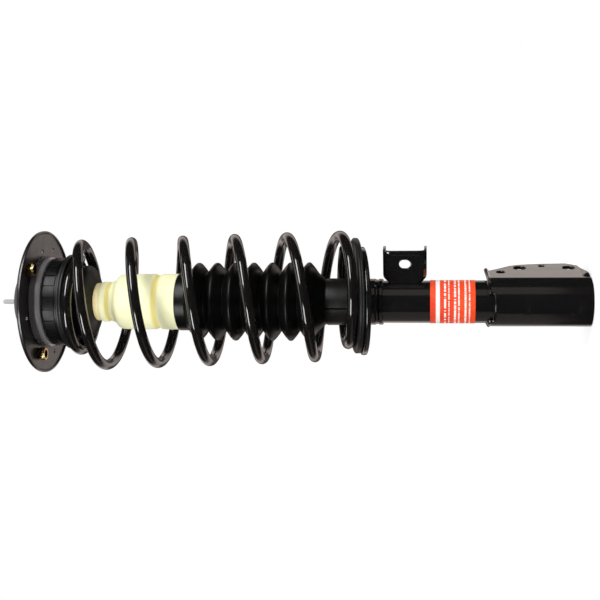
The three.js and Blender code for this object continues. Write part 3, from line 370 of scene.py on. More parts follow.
class Nodes:
    """The node tree of a material or world, with short ways to add and join its nodes."""

    def __init__(self, owner):
        self.owner = owner
        owner.use_nodes = True
        self.tree = owner.node_tree
        self.place = self.add("ShaderNodeTexCoord").outputs["Object"]

    def put(self, value, socket):
        """Wires another node's socket to a socket, or sets it to a constant."""
        if isinstance(value, bpy.types.NodeSocket):
            self.tree.links.new(value, socket)
        else:
            socket.default_value = (*value, 1) if socket.type == "RGBA" else value

    def add(self, kind, inputs=None, **settings):
        node = self.tree.nodes.new(kind)
        for key, value in settings.items():
            setattr(node, key, value)
        for key, value in (inputs or {}).items():
            self.put(value, node.inputs[key])
        return node

    def noise(self, scale, detail=3.0, roughness=0.5, at=None, stretch=None):
        place = at or self.place
        if stretch:
            place = self.add("ShaderNodeMapping", {"Vector": place, "Scale": stretch}).outputs["Vector"]
        inputs = {"Vector": place, "Scale": scale, "Detail": detail, "Roughness": roughness}
        return self.add("ShaderNodeTexNoise", inputs).outputs["Fac"]

    def ramp(self, value, low, high, start=0.0, end=1.0):
        inputs = {"Value": value, "From Min": low, "From Max": high, "To Min": start, "To Max": end}
        return self.add("ShaderNodeMapRange", inputs, interpolation_type="SMOOTHSTEP").outputs["Result"]

    def mix(self, factor, low, high):
        node = self.add("ShaderNodeMix", {"Factor": factor}, data_type="RGBA")
        for value, socket in zip((low, high), (s for s in node.inputs if s.type == "RGBA")):
            self.put(value, socket)
        return next(s for s in node.outputs if s.type == "RGBA")

    def math(self, operation, a, b=0.0):
        return self.add("ShaderNodeMath", {0: a, 1: b}, operation=operation).outputs[0]

    def bump(self, height, strength, distance, under=None):
        inputs = {"Height": height, "Strength": strength, "Distance": distance * MM}
        if under:
            inputs["Normal"] = under
        return self.add("ShaderNodeBump", inputs).outputs["Normal"]

    def around(self):
        """The angle about Z as a value from -1 to 1, and the height in metres."""
        x, y, z = self.add("ShaderNodeSeparateXYZ", {0: self.place}).outputs
        return self.math("DIVIDE", self.math("ARCTAN2", y, x), math.pi), z

    def finish(self, colour, roughness, normal=None, **extras):
        """The material, whose own shader takes these inputs."""
        inputs = {"Base Color": colour, "Roughness": roughness, **extras}
        if normal:
            inputs["Normal"] = normal
        for key, value in inputs.items():
            self.put(value, self.tree.nodes["Principled BSDF"].inputs[key])
        return self.owner

    def mixed(self, factor, first, second):
        return self.add("ShaderNodeMixShader", {0: factor, 1: first, 2: second}).outputs[0]

    def glow(self, kind, strength, colour=(1, 1, 1)):
        """An emission or background shader."""
        return self.add(kind, {"Color": colour, "Strength": strength}).outputs[0]

    def ray(self, kind):
        return self.add("ShaderNodeLightPath").outputs[f"Is {kind} Ray"]

    def mirrored(self):
        """Whether a ray was mirrored or passed through glass on its way."""
        return self.math("MAXIMUM", self.ray("Glossy"), self.ray("Transmission"))

    def show(self, shader):
        output = next(node for node in self.tree.nodes if node.type.startswith("OUTPUT"))
        self.put(shader, output.inputs["Surface"])


def finish_nodes(name):
    return Nodes(bpy.data.materials.new(name))


def scaled(colour, factor, lift=0.0):
    return tuple(min(1, c * factor + lift) for c in colour)


def paint(name, colour, rough, peel, dust=0.25, shine=0.9, coat=0.6, rim=None):
    """Sprayed gloss paint: orange peel, faint dust and rub marks.
    A rim (full below, none above, colour) is painted paler than the rest, a painted highlight."""
    n = finish_nodes(name)
    specks = n.ramp(n.noise(1500, 4, 0.7), 0.62, 0.8)
    cloud = n.ramp(n.noise(28, 5, 0.6), 0.45, 0.75)
    dusty = n.math("MULTIPLY", n.math("MULTIPLY", specks, cloud), dust)
    base = n.mix(dusty, n.mix(cloud, colour, scaled(colour, 1.35)), scaled(colour, 3, 0.02))
    # The rim's paler band is a painted highlight.
    if rim:
        full, none, highlight_colour = rim
        base = n.mix(n.ramp(n.around()[1], full * MM, none * MM, 1.0, 0.0), base, highlight_colour)
    rubbed = n.noise(60, 6, 0.65, stretch=(1, 1, 0.35))
    roughness = n.math("ADD", n.ramp(rubbed, 0.4, 0.75, rough, rough + 0.09), dusty)
    normal = n.bump(n.noise(160, 2), 0.10, 0.25, n.bump(n.noise(900, 2), peel, 0.03))
    extras = {"Specular IOR Level": shine, "Coat Weight": coat, "Coat Roughness": 0.06}
    return n.finish(base, roughness, normal, **extras)


def moulded(name, colour, rough, grain=0.35, shine=0.5):
    """Moulded rubber or plastic: fine grain and slow changes of tone and sheen."""
    n = finish_nodes(name)
    slow = n.noise(45, 4, 0.55)
    bloom = n.ramp(n.noise(90, 6, 0.7), 0.5, 0.8)
    base = n.mix(slow, scaled(colour, 1 / 1.3), scaled(colour, 1.3))
    base = n.mix(n.math("MULTIPLY", bloom, 0.35), base, scaled(colour, 2, 0.002))
    normal = n.bump(n.noise(1200, 3, 0.6), grain, 0.05, n.bump(slow, 0.1, 0.3))
    roughness = n.ramp(slow, 0.3, 0.7, rough - 0.06, rough + 0.08)
    return n.finish(base, roughness, normal, **{"Specular IOR Level": shine})


def machined(name, colour, rough, rings=0.25):
    """Turned or plated metal: fine turning lines across Z, with rubbed patches."""
    n = finish_nodes(name)
    lines = n.noise(600, 2, 0.5, stretch=(0.15, 0.15, 4))
    patches = n.noise(70, 4, 0.6)
    base = n.mix(patches, scaled(colour, 0.8), scaled(colour, 1.15))
    roughness = n.ramp(patches, 0.3, 0.75, rough, rough + 0.12)
    return n.finish(base, roughness, n.bump(lines, rings, 0.04), Metallic=1.0)


def gold_zinc(name):
    """Yellow passivated zinc, with its patches of pink and green."""
    n = finish_nodes(name)
    tint = n.noise(140, 3, 0.5)
    base = n.mix(n.ramp(tint, 0.35, 0.65), (0.62, 0.42, 0.13), (0.86, 0.68, 0.32))
    base = n.mix(n.ramp(n.noise(210, 2), 0.6, 0.75), base, (0.55, 0.55, 0.25))
    return n.finish(base, n.ramp(tint, 0.3, 0.7, 0.22, 0.36), n.bump(n.noise(900, 3), 0.15, 0.03), Metallic=1.0)


STOP_GROOVES = ((-87.8, 3.0), (-148.6, 3.6))  # the bump stop's grooves, where shade is painted: height and half width
STOP_PAINTED_SHADE = (-83, -73)  # heights between which its top end turns tan, a painted shade


def urethane(name):
    """Cellular urethane: pale, with painted shade that makes it yellower in its grooves and tan at its top end, and
    open pores.
    """
    crest, groove_shade_and_patch_yellow, tan = (0.95, 0.95, 0.60), (0.88, 0.74, 0.20), (0.80, 0.67, 0.36)
    n = finish_nodes(name)
    height = n.around()[1]
    # Painted shade: tan at the top end.
    base = n.mix(n.ramp(height, *(z * MM for z in STOP_PAINTED_SHADE)), crest, tan)
    # Painted shade: yellower in the grooves.
    for middle, half in STOP_GROOVES:
        beside = n.math("ABSOLUTE", n.math("SUBTRACT", height, middle * MM))
        base = n.mix(n.ramp(beside, 0.4 * half * MM, 1.2 * half * MM, 0.9, 0.0), base, groove_shade_and_patch_yellow)
    pores = n.ramp(n.noise(1700, 3, 0.7), 0.3, 0.5)
    cloud = n.noise(55, 4, 0.6)
    # Random patches in the same yellow as the grooves' painted shade.
    base = n.mix(n.math("MULTIPLY", n.ramp(cloud, 0.4, 0.7), 0.12), base, groove_shade_and_patch_yellow)
    normal = n.bump(pores, 0.2, 0.06, n.bump(cloud, 0.1, 0.4))
    return n.finish(base, n.ramp(cloud, 0.3, 0.7, 0.5, 0.66), normal)


LABEL_FOOT, LABEL_TOP = ends("label")
# Each bar is its middle as a share of the label's height, its half width, and how finely it is broken.
BROAD_BAR = (0.83, 0.046, 9)
DASHED_BARS = ((0.67, 0.022, 21), (0.585, 0.013, 60), (0.45, 0.024, 34), (0.365, 0.017, 48), (0.22, 0.021, 40),
               (0.13, 0.015, 54))


def label_film(name):
    """Orange-red film with plain bars: one broad white bar and lines broken into dashes, no lettering."""
    n = finish_nodes(name)
    angle, height = n.around()
    along = n.math("DIVIDE", n.math("SUBTRACT", height, LABEL_FOOT * MM), (LABEL_TOP - LABEL_FOOT) * MM)
    bars = 0.0
    for bar in (BROAD_BAR, *DASHED_BARS):
        middle, half, fineness = bar
        beside = n.math("ABSOLUTE", n.math("SUBTRACT", along, middle))
        band = n.math("SUBTRACT", 1.0, n.ramp(beside, half * 0.8, half * 1.15))
        # Each bar is broken by a stretch of noise of its own.
        strip = n.add("ShaderNodeCombineXYZ", {"X": n.math("MULTIPLY", angle, fineness), "Y": middle * 37}).outputs[0]
        if bar == BROAD_BAR:
            breaks = n.ramp(n.noise(1.2, 0, 0.4, at=strip), 0.22, 0.28)
        else:
            breaks = n.ramp(n.noise(1.6, 1, 0.4, at=strip), 0.40, 0.46)
        bars = n.math("MAXIMUM", bars, n.math("MULTIPLY", band, breaks))
    warm = n.mix(n.ramp(along, 0.1, 0.95), (0.80, 0.060, 0.010), (0.72, 0.050, 0.018))
    worn = n.noise(70, 5, 0.6)
    base = n.mix(bars, n.mix(n.ramp(worn, 0.35, 0.7), warm, (0.84, 0.080, 0.018)), (0.86, 0.80, 0.78))
    roughness = n.ramp(worn, 0.3, 0.7, 0.28, 0.42)
    return n.finish(base, roughness, n.bump(n.noise(500, 3), 0.08, 0.05), **{"Specular IOR Level": 0.25})


RECIPES = {
    "black_paint": (paint, dict(colour=(0.0045, 0.0043, 0.0045), rough=0.12, peel=0.12)),
    "spring_paint": (paint, dict(colour=(0.0050, 0.0042, 0.0040), rough=0.10, peel=0.08, coat=0.25)),
    "plate_paint": (paint, dict(colour=(0.0075, 0.0058, 0.0066), rough=0.28, peel=0.10, dust=0.08, shine=0.95, coat=0)),
    "seat_paint": (paint, dict(colour=(0.0040, 0.0038, 0.0040), rough=0.34, peel=0.12, dust=0.15, shine=0.22, coat=0)),
    "grey_coat": (paint, dict(
        colour=(0.060, 0.054, 0.058), rough=0.20, peel=0.15, dust=0.12, shine=0.95, coat=0.5,
        # The cup's foot is painted paler here, a painted highlight.
        rim=(foot("mount_cup") + 4.6, foot("mount_cup") + 6.0, (0.17, 0.16, 0.165)))),
    "rod_tip": (paint, dict(colour=(0.40, 0.40, 0.39), rough=0.35, peel=0.1, dust=0.1, shine=0.8, coat=0)),
    "rubber": (moulded, dict(colour=(0.008, 0.008, 0.008), rough=0.42)),
    "boot_rubber": (moulded, dict(colour=(0.0022, 0.0022, 0.0020), rough=0.33, grain=0.2, shine=0.28)),
    "grey_plastic": (moulded, dict(colour=(0.0045, 0.0042, 0.0042), rough=0.32, grain=0.3, shine=0.24)),
    "black_plastic": (moulded, dict(colour=(0.007, 0.0062, 0.006), rough=0.34, grain=0.3)),
    "band_plastic": (moulded, dict(colour=(0.10, 0.06, 0.04), rough=0.5)),
    "steel": (machined, dict(colour=(0.50, 0.51, 0.52), rough=0.24)),
    "chrome": (machined, dict(colour=(0.76, 0.77, 0.78), rough=0.07, rings=0.06)),
    "sintered_iron": (machined, dict(colour=(0.20, 0.20, 0.21), rough=0.5, rings=0.5)),
    # Painted shade for the insides of the nuts' bores.
    "dark_thread": (machined, dict(colour=(0.05, 0.045, 0.03), rough=0.45)),
    "gold_zinc": (gold_zinc, {}),
    "urethane": (urethane, {}),
    "label_film": (label_film, {}),
}
FINISHES = {name: make(name, **recipe) for name, (make, recipe) in RECIPES.items()}

# ---------- tower mount ----------

PLATE_RADIUS = 87.5
PLATE_THICKNESS = 2.8
DOME_TOP_RADIUS = 35
DOME_FOOT_RADIUS = 48
DOME_OPENING_RADIUS = 20
# Studs and holes are (radius, degrees) about Z.
STUDS = ((67, -1.5), (67, 125.5), (67, -128.5))
STUD_HOLE_RADIUS = 4.2
LOCATING_HOLES = ((62, -82), (70, -51), (69, 83), (63, 179))
LOCATING_HOLE_RADIUS = 3.1
CUP_RADIUS = 57
TOP_NUT_FLATS = 22
TOWER_NUT_FLATS = 14
NUT_SIDES = 48
THREAD_PITCH = 1.25
THREAD_DEPTH = 0.45


def mount_plate():
    lip, crown = ends("mount_plate")
    under = -PLATE_THICKNESS
    outline = [
        (DOME_OPENING_RADIUS, crown, 0.8),
        (DOME_TOP_RADIUS, crown, 4),
        (DOME_FOOT_RADIUS - 4, 3.0, 3),
        (DOME_FOOT_RADIUS + 0.5, 0, 3),
        (PLATE_RADIUS, 0, 3.2),
        (PLATE_RADIUS, lip, 0.8),
        (PLATE_RADIUS - PLATE_THICKNESS + 0.5, lip, 0.8),
        (PLATE_RADIUS - PLATE_THICKNESS, under, 1.6),
        (DOME_FOOT_RADIUS - 1, under, 2),
        (DOME_FOOT_RADIUS - 5.5, 1.2, 2),
        (DOME_TOP_RADIUS - 2.6, crown - PLATE_THICKNESS, 2.5),
        (DOME_OPENING_RADIUS, crown - PLATE_THICKNESS, 0.8),
    ]
    made = lathed("plate", outline, "plate_paint", "tower_mount", "mount_plate", 1, 160)
    holes = [drill(STUD_HOLE_RADIUS, DRILL_LENGTH, (*polar(*stud), 0)) for stud in STUDS]
    holes += [drill(LOCATING_HOLE_RADIUS, DRILL_LENGTH, (*polar(*hole), 0), 24) for hole in LOCATING_HOLES]
    cut(made, "plate_paint", holes)


def nut(name, node, finish, flats, bore, chamfer=1.0, place=(0, 0), turn=0):
    """A hexagon nut about Z with chamfered corners and a threaded bore."""
    half = flats / 2
    low, high = ends(node)
    height = high - low
    levels = [(half - 0.6, 0.0, False), (half + 0.1, 0.0, False), (flats, chamfer, True),
              (flats, height - chamfer, True), (half + 0.1, height, False), (half - 0.6, height, False),
              (bore + 0.9, height, False)]
    threads = max(2, round(height / THREAD_PITCH * 2))
    levels += [(bore + (0.0 if n % 2 else THREAD_DEPTH), height - 0.5 - (height - 1.0) * n / threads, False)
               for n in range(threads + 1)]
    levels.append((bore + 0.9, 0.0, False))
    corners = []
    for radius, z, hexagonal in levels:
        for side in range(NUT_SIDES):
            angle = 2 * math.pi * side / NUT_SIDES
            within = (angle + math.pi / 6) % (math.pi / 3) - math.pi / 6
            hexed = half / math.cos(within)
            r = hexed if hexagonal else min(radius, hexed)
            a = angle + math.radians(turn)
            corners.append((place[0] + r * math.cos(a), place[1] + r * math.sin(a), low + z))
    made = piece(name, corners, skin(len(levels), NUT_SIDES), finish, "tower_mount", node)
    # The bore's faces take painted shade.
    paint_part(made, "dark_thread", lambda x, y, z: math.hypot(x - place[0], y - place[1]) < bore + 0.6)
    shade(made, 28)


def mount_core():
    low, high = ends("mount_cup")
    cup = [
        (CUP_RADIUS - 2, high, 0.5), (CUP_RADIUS - 2, low + 3), (26, low + 2), (26, low),
        (CUP_RADIUS - 1.6, low, 2.4), (CUP_RADIUS, high, 0.5),
    ]
    lathed("cup", cup, "grey_coat", "tower_mount", "mount_cup", 1.2)
    low, high = ends("mount_rubber")
    rubber = [
        (20.4, low), (54.4, low, 1.5), (54.6, -4.6, 1), (44, -3.2, 2), (41, 1, 2), (31, high, 3), (25, high - 2.2, 1.5),
        (22.5, high, 1.5), (20.4, high - 1.0),
    ]
    lathed("core_rubber", rubber, "rubber", "tower_mount", "mount_rubber", 0.5)
    for name, node, bore, radius, rounding in (("core_sleeve", "mount_sleeve", 7.35, 20, 0.6),
                                               ("top_washer", "rod_washer", 7.4, 19, 0.5)):
        low, high = ends(node)
        outline = [(bore, low), (radius, low), (radius, high), (bore, high)]
        lathed(name, outline, "steel", "tower_mount", node, rounding)
    nut("top_nut", "rod_nut", "steel", TOP_NUT_FLATS, 7.3)
    for n, stud in enumerate(STUDS, 1):
        nut(f"tower_nut_{n}", f"mount_nut_{n}", "gold_zinc", TOWER_NUT_FLATS, STUD_HOLE_RADIUS, 1.4, polar(*stud),
            stud[1])


def piston_rod():
    """The rod, with a rolled thread above its shoulder and a drive tip."""
    end, tip = ends("piston_rod")
    shoulder, thread_top, thread_foot, pitch = -12.3, 23.1, 6.6, 1.5
    neck = foot("piston_band") + 14
    outline = [(0, tip), (1.9, tip), (2.75, tip - 1.2), (2.75, thread_top), (5.8, thread_top), (7, thread_top - 1)]
    z = thread_top - 1
    while z - pitch > thread_foot:
        outline += [(7, z - pitch * 0.1), (6.2, z - pitch * 0.5), (7, z - pitch * 0.9)]
        z -= pitch
    outline += [(7, thread_foot), (7, shoulder), (9.4, shoulder), (10, shoulder - 0.6), (10, neck), (6, neck),
                (6, end + 0.8), (5.4, end), (0, end)]
    made = piece("damper_rod", *turned(outline, 64), "chrome", "tower_mount", "piston_rod")
    paint_part(made, "rod_tip", lambda x, y, z: z > thread_top + 0.5)


# ---------- bearing and upper seat ----------

HOUSING_RADIUS = 54
GROOVES = 24
GROOVE_WIDTH = 1.9
GROOVE_DEPTH = 1.3


def bearing_housing():
    """The ribbed plastic housing. Its outer wall is cut by axial grooves between two plain bands."""
    low, high = ends("bearing_housing")
    floor_z = foot("bearing_lower_race") - CLEARANCE
    wall = HOUSING_RADIUS
    outline = [
        (46.7, high), (wall - 1.3, high), (wall - 0.4, high - 0.35), (wall, high - 1.2), (wall, high - 2.0),
        (wall, high - 2.3, GROOVE_DEPTH), (wall, low + 5.4, GROOVE_DEPTH), (wall, low + 5.1), (wall, low + 4.4),
        (wall - 0.9, low + 4.0), (wall - 0.9, low + 2.2), (wall, low + 1.8), (wall, low + 0.6), (wall - 0.6, low),
        (51, low), (51, floor_z - 3), (33, floor_z - 3), (33, low), (30, low), (30, floor_z), (46.7, floor_z),
    ]
    half = math.degrees(GROOVE_WIDTH / 2 / HOUSING_RADIUS)
    sector = 360 / GROOVES
    turns = []
    for n in range(GROOVES):
        middle = (n + 0.5) * sector
        for offset, deep in ((-half - 0.12, 0), (-half + 0.12, 1), (half - 0.12, 1), (half + 0.12, 0)):
            turns.append((middle + offset, deep))
        for share in (0.2, 0.4, 0.6, 0.8):
            turns.append((middle + half + share * (sector - 2 * half), 0))
    corners = [(*polar(r - sum(depth) * deep, degrees), z) for degrees, deep in turns for r, z, *depth in outline]
    piece("housing", corners, skin(len(turns), len(outline)), "grey_plastic", "upper_seat", "bearing_housing")


def upper_seat():
    cone_foot, disc_top = ends("upper_spring_seat")
    disc_under = disc_top - 2.5
    hub, hub_foot = 44.5, disc_under - 23
    outline = [
        (30, disc_top), (54, disc_top), (54, disc_under), (hub, disc_under, 1.5), (hub, hub_foot, 4),
        (hub - 5.5, hub_foot - 2.6, 4), (23.9, cone_foot, 1.2), (21.1, cone_foot, 0.4), (21.1, cone_foot + 2.5, 0.4),
        (hub - 7, hub_foot - 0.1, 3), (hub - 2.5, hub_foot + 1, 2), (hub - 2.5, disc_under, 0.4), (30, disc_under, 0.4),
    ]
    lathed("hub_seat", outline, "seat_paint", "upper_seat", "upper_spring_seat", 0.7)
    low, high = ends("upper_isolator")
    pad_top, rim = disc_under - CLEARANCE, 58.3
    outline = [(hub + 0.4, pad_top), (54.3, pad_top), (54.3, high), (rim, high, 0.6),
               (rim, high - 2.2, 0.3), (rim - 0.8, high - 3.0, 0.4), (rim, high - 3.8, 0.3), (rim, low, 1.6),
               (hub + 0.4, low)]
    lathed("upper_pad", outline, "rubber", "upper_seat", "upper_isolator")


# ---------- coil spring ----------

WIRE_RADIUS = 6.35
COIL_PITCH = 64
ACTIVE_TURNS = 5.12
COIL_TOP_RADIUS = 75.3
COIL_FOOT_RADIUS = 72.5
TOP_END_RADIUS = 55.5
BOTTOM_END_RADIUS = 58
TOP_DEAD_TURNS = 0.95
BOTTOM_DEAD_TURNS = 0.8
TOP_BLEND_TURNS = 0.35
BOTTOM_BLEND_TURNS = 0.5
PITCH_BLEND_TURNS = 0.12
COIL_START_ANGLE = -73
TOP_CENTRE = (-1.5, 3.6)
BOTTOM_CENTRE = (11.6, -3.8)
TILT = math.radians(10.3)  # of the lower seat, uphill towards TILT_ANGLE
TILT_ANGLE = math.radians(10)
TILT_GROWTH = 0.31  # how soon the coils take on the tilt, as a power of the way down
LOOP_LEAN = math.radians(2.6)  # of the first loop, uphill towards LOOP_LEAN_ANGLE
LOOP_LEAN_ANGLE = math.radians(17.5)
LEAN_TURNS = (-0.07, 0.13, 0.3, 1)  # where the lean starts, is full, fades and is over
COIL_TOP_Z = foot("upper_isolator") - CLEARANCE - WIRE_RADIUS
STEPS_PER_TURN = 72
WIRE_SIDES = 24


def soft_ramp(t):
    """Rises from 0 at a steady rate once t passes 0, with a rounded start."""
    if t < -PITCH_BLEND_TURNS:
        return 0
    if t > PITCH_BLEND_TURNS:
        return t
    return (t + PITCH_BLEND_TURNS) ** 2 / (4 * PITCH_BLEND_TURNS)


def coil_point(turn):
    """The wire's centre line at a turn, and its share of the way down."""
    climbed = soft_ramp(turn) - soft_ramp(turn - ACTIVE_TURNS)
    share = climbed / ACTIVE_TURNS
    from_top = smooth((turn - PITCH_BLEND_TURNS / 2) / TOP_BLEND_TURNS + 1)
    to_bottom = smooth((turn - ACTIVE_TURNS + PITCH_BLEND_TURNS) / BOTTOM_BLEND_TURNS)
    active = mix(COIL_TOP_RADIUS, COIL_FOOT_RADIUS, share)
    radius = mix(mix(TOP_END_RADIUS, active, from_top), BOTTOM_END_RADIUS, to_bottom)
    x, y = polar(radius, COIL_START_ANGLE - 360 * turn)
    starts, full, fades, over = LEAN_TURNS
    lean_share = smooth((turn - starts) / (full - starts)) * (1 - smooth((turn - fades) / (over - fades)))
    uphill = x * math.cos(TILT_ANGLE) + y * math.sin(TILT_ANGLE)
    lean_uphill = x * math.cos(LOOP_LEAN_ANGLE) + y * math.sin(LOOP_LEAN_ANGLE)
    rise = math.tan(TILT) * share ** TILT_GROWTH * uphill + math.tan(LOOP_LEAN) * lean_share * lean_uphill
    centre = [mix(a, b, share) for a, b in zip(TOP_CENTRE, BOTTOM_CENTRE)]
    return Vector((x + centre[0], y + centre[1], COIL_TOP_Z - COIL_PITCH * climbed + rise)), share


def coil_spring():
    """The wire between the two seats, made of round cross-sections along its centre line."""
    whole = TOP_DEAD_TURNS + ACTIVE_TURNS + BOTTOM_DEAD_TURNS
    steps = round(whole * STEPS_PER_TURN)
    line = [coil_point(-TOP_DEAD_TURNS + whole * n / steps) for n in range(steps + 1)]
    for end, beside in ((0, 1), (-1, -2)):
        way = (line[end][0] - line[beside][0]).normalized() * 2 * WIRE_RADIUS
        straight = [(line[end][0] + way * t, line[end][1]) for t in (0.5, 0.97, 1.0)]
        line = straight[::-1] + line if end == 0 else line + straight
    corners, shares = [], []
    last = len(line) - 1
    for n, (point, share) in enumerate(line):
        along = (line[min(n + 1, last)][0] - line[max(n - 1, 0)][0]).normalized()
        outward = Vector((point.x, point.y, 0))
        outward = (outward - along * along.dot(outward)).normalized()
        across = along.cross(outward)
        radius = WIRE_RADIUS * (0.93 if n in (0, last) else 1)
        for side in range(WIRE_SIDES):
            turn = 2 * math.pi * side / WIRE_SIDES
            corners.append(point + (outward * math.cos(turn) + across * math.sin(turn)) * radius)
            shares.append(share)
    faces = skin(len(line), WIRE_SIDES, closed=False)
    made = piece("spring", corners, faces, "spring_paint", None, "coil_spring")
    stretch(made, shares, COIL_TOP_Z, COIL_TOP_Z - COIL_PITCH * ACTIVE_TURNS)


def stretch(made, shares, start_z, end_z):
    """Bakes the piece's place into its mesh. The shares, start_z and end_z are not used."""
    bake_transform(made)


# ---------- bump stop and dust boot ----------


def bump_stop():
    low, high = ends("bump_stop")
    collar = foot("upper_spring_seat") - CLEARANCE
    cuff = top("dust_boot") + CLEARANCE
    outline = [
        (10.6, high), (20.8, high), (20.8, collar, 0.4), (23.1, collar, 1.2), (23.1, collar - 6.5, 0.8),
        (24.6, collar - 8.2, 0.8), (24.6, collar - 15, 2), (22.6, collar - 17.5, 2.2), (24.6, collar - 20, 2),
        (25.4, collar - 25, 2), (31.8, collar - 29.5, 3), (33.6, collar - 33, 3), (33.8, collar - 44, 3),
        (34, collar - 74, 2), (32.2, collar - 77.2, 2), (32.2, collar - 80.2, 2), (34, collar - 83.4, 2),
        (34, cuff, 0.8), (31.8, cuff, 0.4), (31.8, low + 3, 2), (27.8, low, 2), (10.6, low),
    ]
    lathed("bumper", outline, "urethane", "upper_seat", "bump_stop", 1)


BOOT_FOLDS = 7
BOOT_PEAK_RADIUS = 47.4
BOOT_VALLEY_RADIUS = 35.1
BOOT_WALL = 1.6
BOOT_CUFF_HEIGHT = 13
BOOT_CONE_HEIGHT = 10


def dust_boot():
    """Bellows with rounded crests and tight valleys, between a plain cuff and a cone that grips the tube."""
    low, high = ends("dust_boot")
    fold_top, fold_foot = high - BOOT_CUFF_HEIGHT, low + BOOT_CONE_HEIGHT
    pitch = (fold_top - fold_foot) / BOOT_FOLDS
    cuff = 32.1
    outer = [(cuff + 3.0, high, 1.2), (cuff + 3.0, fold_top + 0.5, 1.5)]
    inner = [(cuff, high, 0.5), (cuff, fold_top, 1)]
    for fold in range(BOOT_FOLDS):
        peak, valley = fold_top - pitch * (fold + 0.5), fold_top - pitch * (fold + 1)
        flank = BOOT_VALLEY_RADIUS + (BOOT_PEAK_RADIUS - BOOT_VALLEY_RADIUS) * 0.55
        outer += [(flank, peak + pitch * 0.29, 4), (BOOT_PEAK_RADIUS, peak + 1.5, 1.6),
                  (BOOT_PEAK_RADIUS, peak - 1.5, 1.6), (flank, peak - pitch * 0.29, 4),
                  (BOOT_VALLEY_RADIUS - 0.3, valley, 1.5)]
        inner += [(BOOT_PEAK_RADIUS - BOOT_WALL - 0.4, peak, 1.6), (BOOT_VALLEY_RADIUS - BOOT_WALL, valley, 1.5)]
    outer += [(27.1, low + 1.2, 1), (27.1, low, 0.5)]
    inner += [(25.3, low + 1.2, 1), (25.3, low, 0.3)]
    made = lathed("bellows", outer + inner[::-1], "boot_rubber", None, "dust_boot", 1, 112)
    start, end = fold_top, low + 1.5
    shares = [min(1, max(0, (start - v.co.z / MM) / (start - end))) for v in made.data.vertices]
    stretch(made, shares, start, end)


# ---------- lower spring seat ----------

PAD_RADIUS = 70
PAN_RADIUS = 65
PAN_CENTRE = (5, 1)
PAN_BORE = 27.7
SEAT_Z = COIL_TOP_Z - COIL_PITCH * ACTIVE_TURNS - WIRE_RADIUS / math.cos(TILT)
PAD_THICKNESS = 8
PAN_RIM_HEIGHT = 6

seat_frame = (Matrix.Translation((*BOTTOM_CENTRE, SEAT_Z))
              @ Matrix.Rotation(TILT, 4, Vector((math.sin(TILT_ANGLE), -math.cos(TILT_ANGLE), 0))))


def on_seat(corners, shift=(0, 0)):
    return [seat_frame @ Vector((x + shift[0], y + shift[1], z)) for x, y, z in corners]


def lower_seat():
    lip = BOTTOM_END_RADIUS - WIRE_RADIUS - 1.2
    under = -CLEARANCE - PAD_THICKNESS
    outline = [
        (lip - 4, under), (lip - 4, 4.6, 1.5), (lip - 1, 4.6, 1.5), (lip, -CLEARANCE, 1.5),
        (PAD_RADIUS - 5, -CLEARANCE, 2),
        (PAD_RADIUS - 0.8, -1.8, 2), (PAD_RADIUS, -4, 1.5), (PAD_RADIUS - 0.9, -5.2, 1), (PAD_RADIUS, -6.2, 1),
        (PAD_RADIUS - 1.5, under, 1.2),
    ]
    corners, faces = turned(soften(outline, 1), 128)
    piece("lower_pad", on_seat(corners), faces, "rubber", "strut_body", "lower_isolator")
    high = under - CLEARANCE
    low = high - PAN_RIM_HEIGHT
    dish = high - 8.5
    bend = BOTTOM_END_RADIUS - WIRE_RADIUS - 6
    outline = [
        (18, dish), (bend - 7, dish + 1.5, 4), (bend, high, 4), (PAN_RADIUS, high, 2.4), (PAN_RADIUS, low, 1.3),
        (PAN_RADIUS - 3.4, low, 1.0), (PAN_RADIUS - 3.4, high - 2.5, 0.8), (bend + 1.4, high - 2.5, 3),
        (bend - 5.4, dish - 1.2, 4), (18, dish - 2.5),
    ]
    corners, faces = turned(soften(outline, 0.6), 128)
    shift = [a - b for a, b in zip(PAN_CENTRE, BOTTOM_CENTRE)]
    made = piece("pan", on_seat(corners, shift), faces, "black_paint", "strut_body", "lower_spring_seat")
    cut(made, "black_paint", [drill(PAN_BORE, 120, (0, 0, SEAT_Z), 96)])


def seat_collar():
    low, high = ends("seat_collar")
    outline = [(25.3, low), (27.2, low, 0.8), (27.4, low + 4.2, 0.8), (26.4, low + 5.4, 0.8), (26.4, low + 8.0, 0.8),
               (27.4, low + 9.2, 0.8), (27.4, high, 0.8), (25.3, high)]
    lathed("collar", outline, "black_paint", "strut_body", "seat_collar", 0.4)


# ---------- damper tube ----------

TUBE_RADIUS = 25


def damper_tube():
    low, high = ends("strut_tube")
    outline = [(22.5, low), (TUBE_RADIUS, low, 0.8), (TUBE_RADIUS, high, 0.8), (22.5, high)]
    lathed("tube", outline, "black_paint", "strut_body", "strut_tube", 0.3, 128)
    low, high = ends("boot_sleeve")
    sides, slit = 120, 4.2
    outline = soften([(25.3, low), (28, low, 0.6), (28, high, 0.8), (25.3, high)], 0.3)
    corners = [(*polar(r, 180 + slit / 2 + (360 - slit) * side / sides), z)
               for side in range(sides + 1) for r, z in outline]
    faces = skin(sides + 1, len(outline), closed=False)
    piece("clip_sleeve", corners, faces, "black_plastic", "strut_body", "boot_sleeve")
    outline = [(25.3, LABEL_FOOT), (25.55, LABEL_FOOT), (25.55, LABEL_TOP), (25.3, LABEL_TOP)]
    piece("wrap_label", *turned(outline, 128), "label_film", "strut_body", "label")


# ---------- brackets ----------

CLEVIS_SHEET = 3.9
CLEVIS_REACH = 62.5
CLEVIS_INNER = 25.3
CLEVIS_FOOT = foot("clevis_bracket")
CLEVIS_TOP = top("clevis_bracket") - 4.5
RECESS_HALF = 15.8
RECESS_DEPTH = 7.5
FOLD_HALF = math.radians(14)  # half of the flat beside each ear's fold
BOLT_HEIGHTS = (21, 78.5)


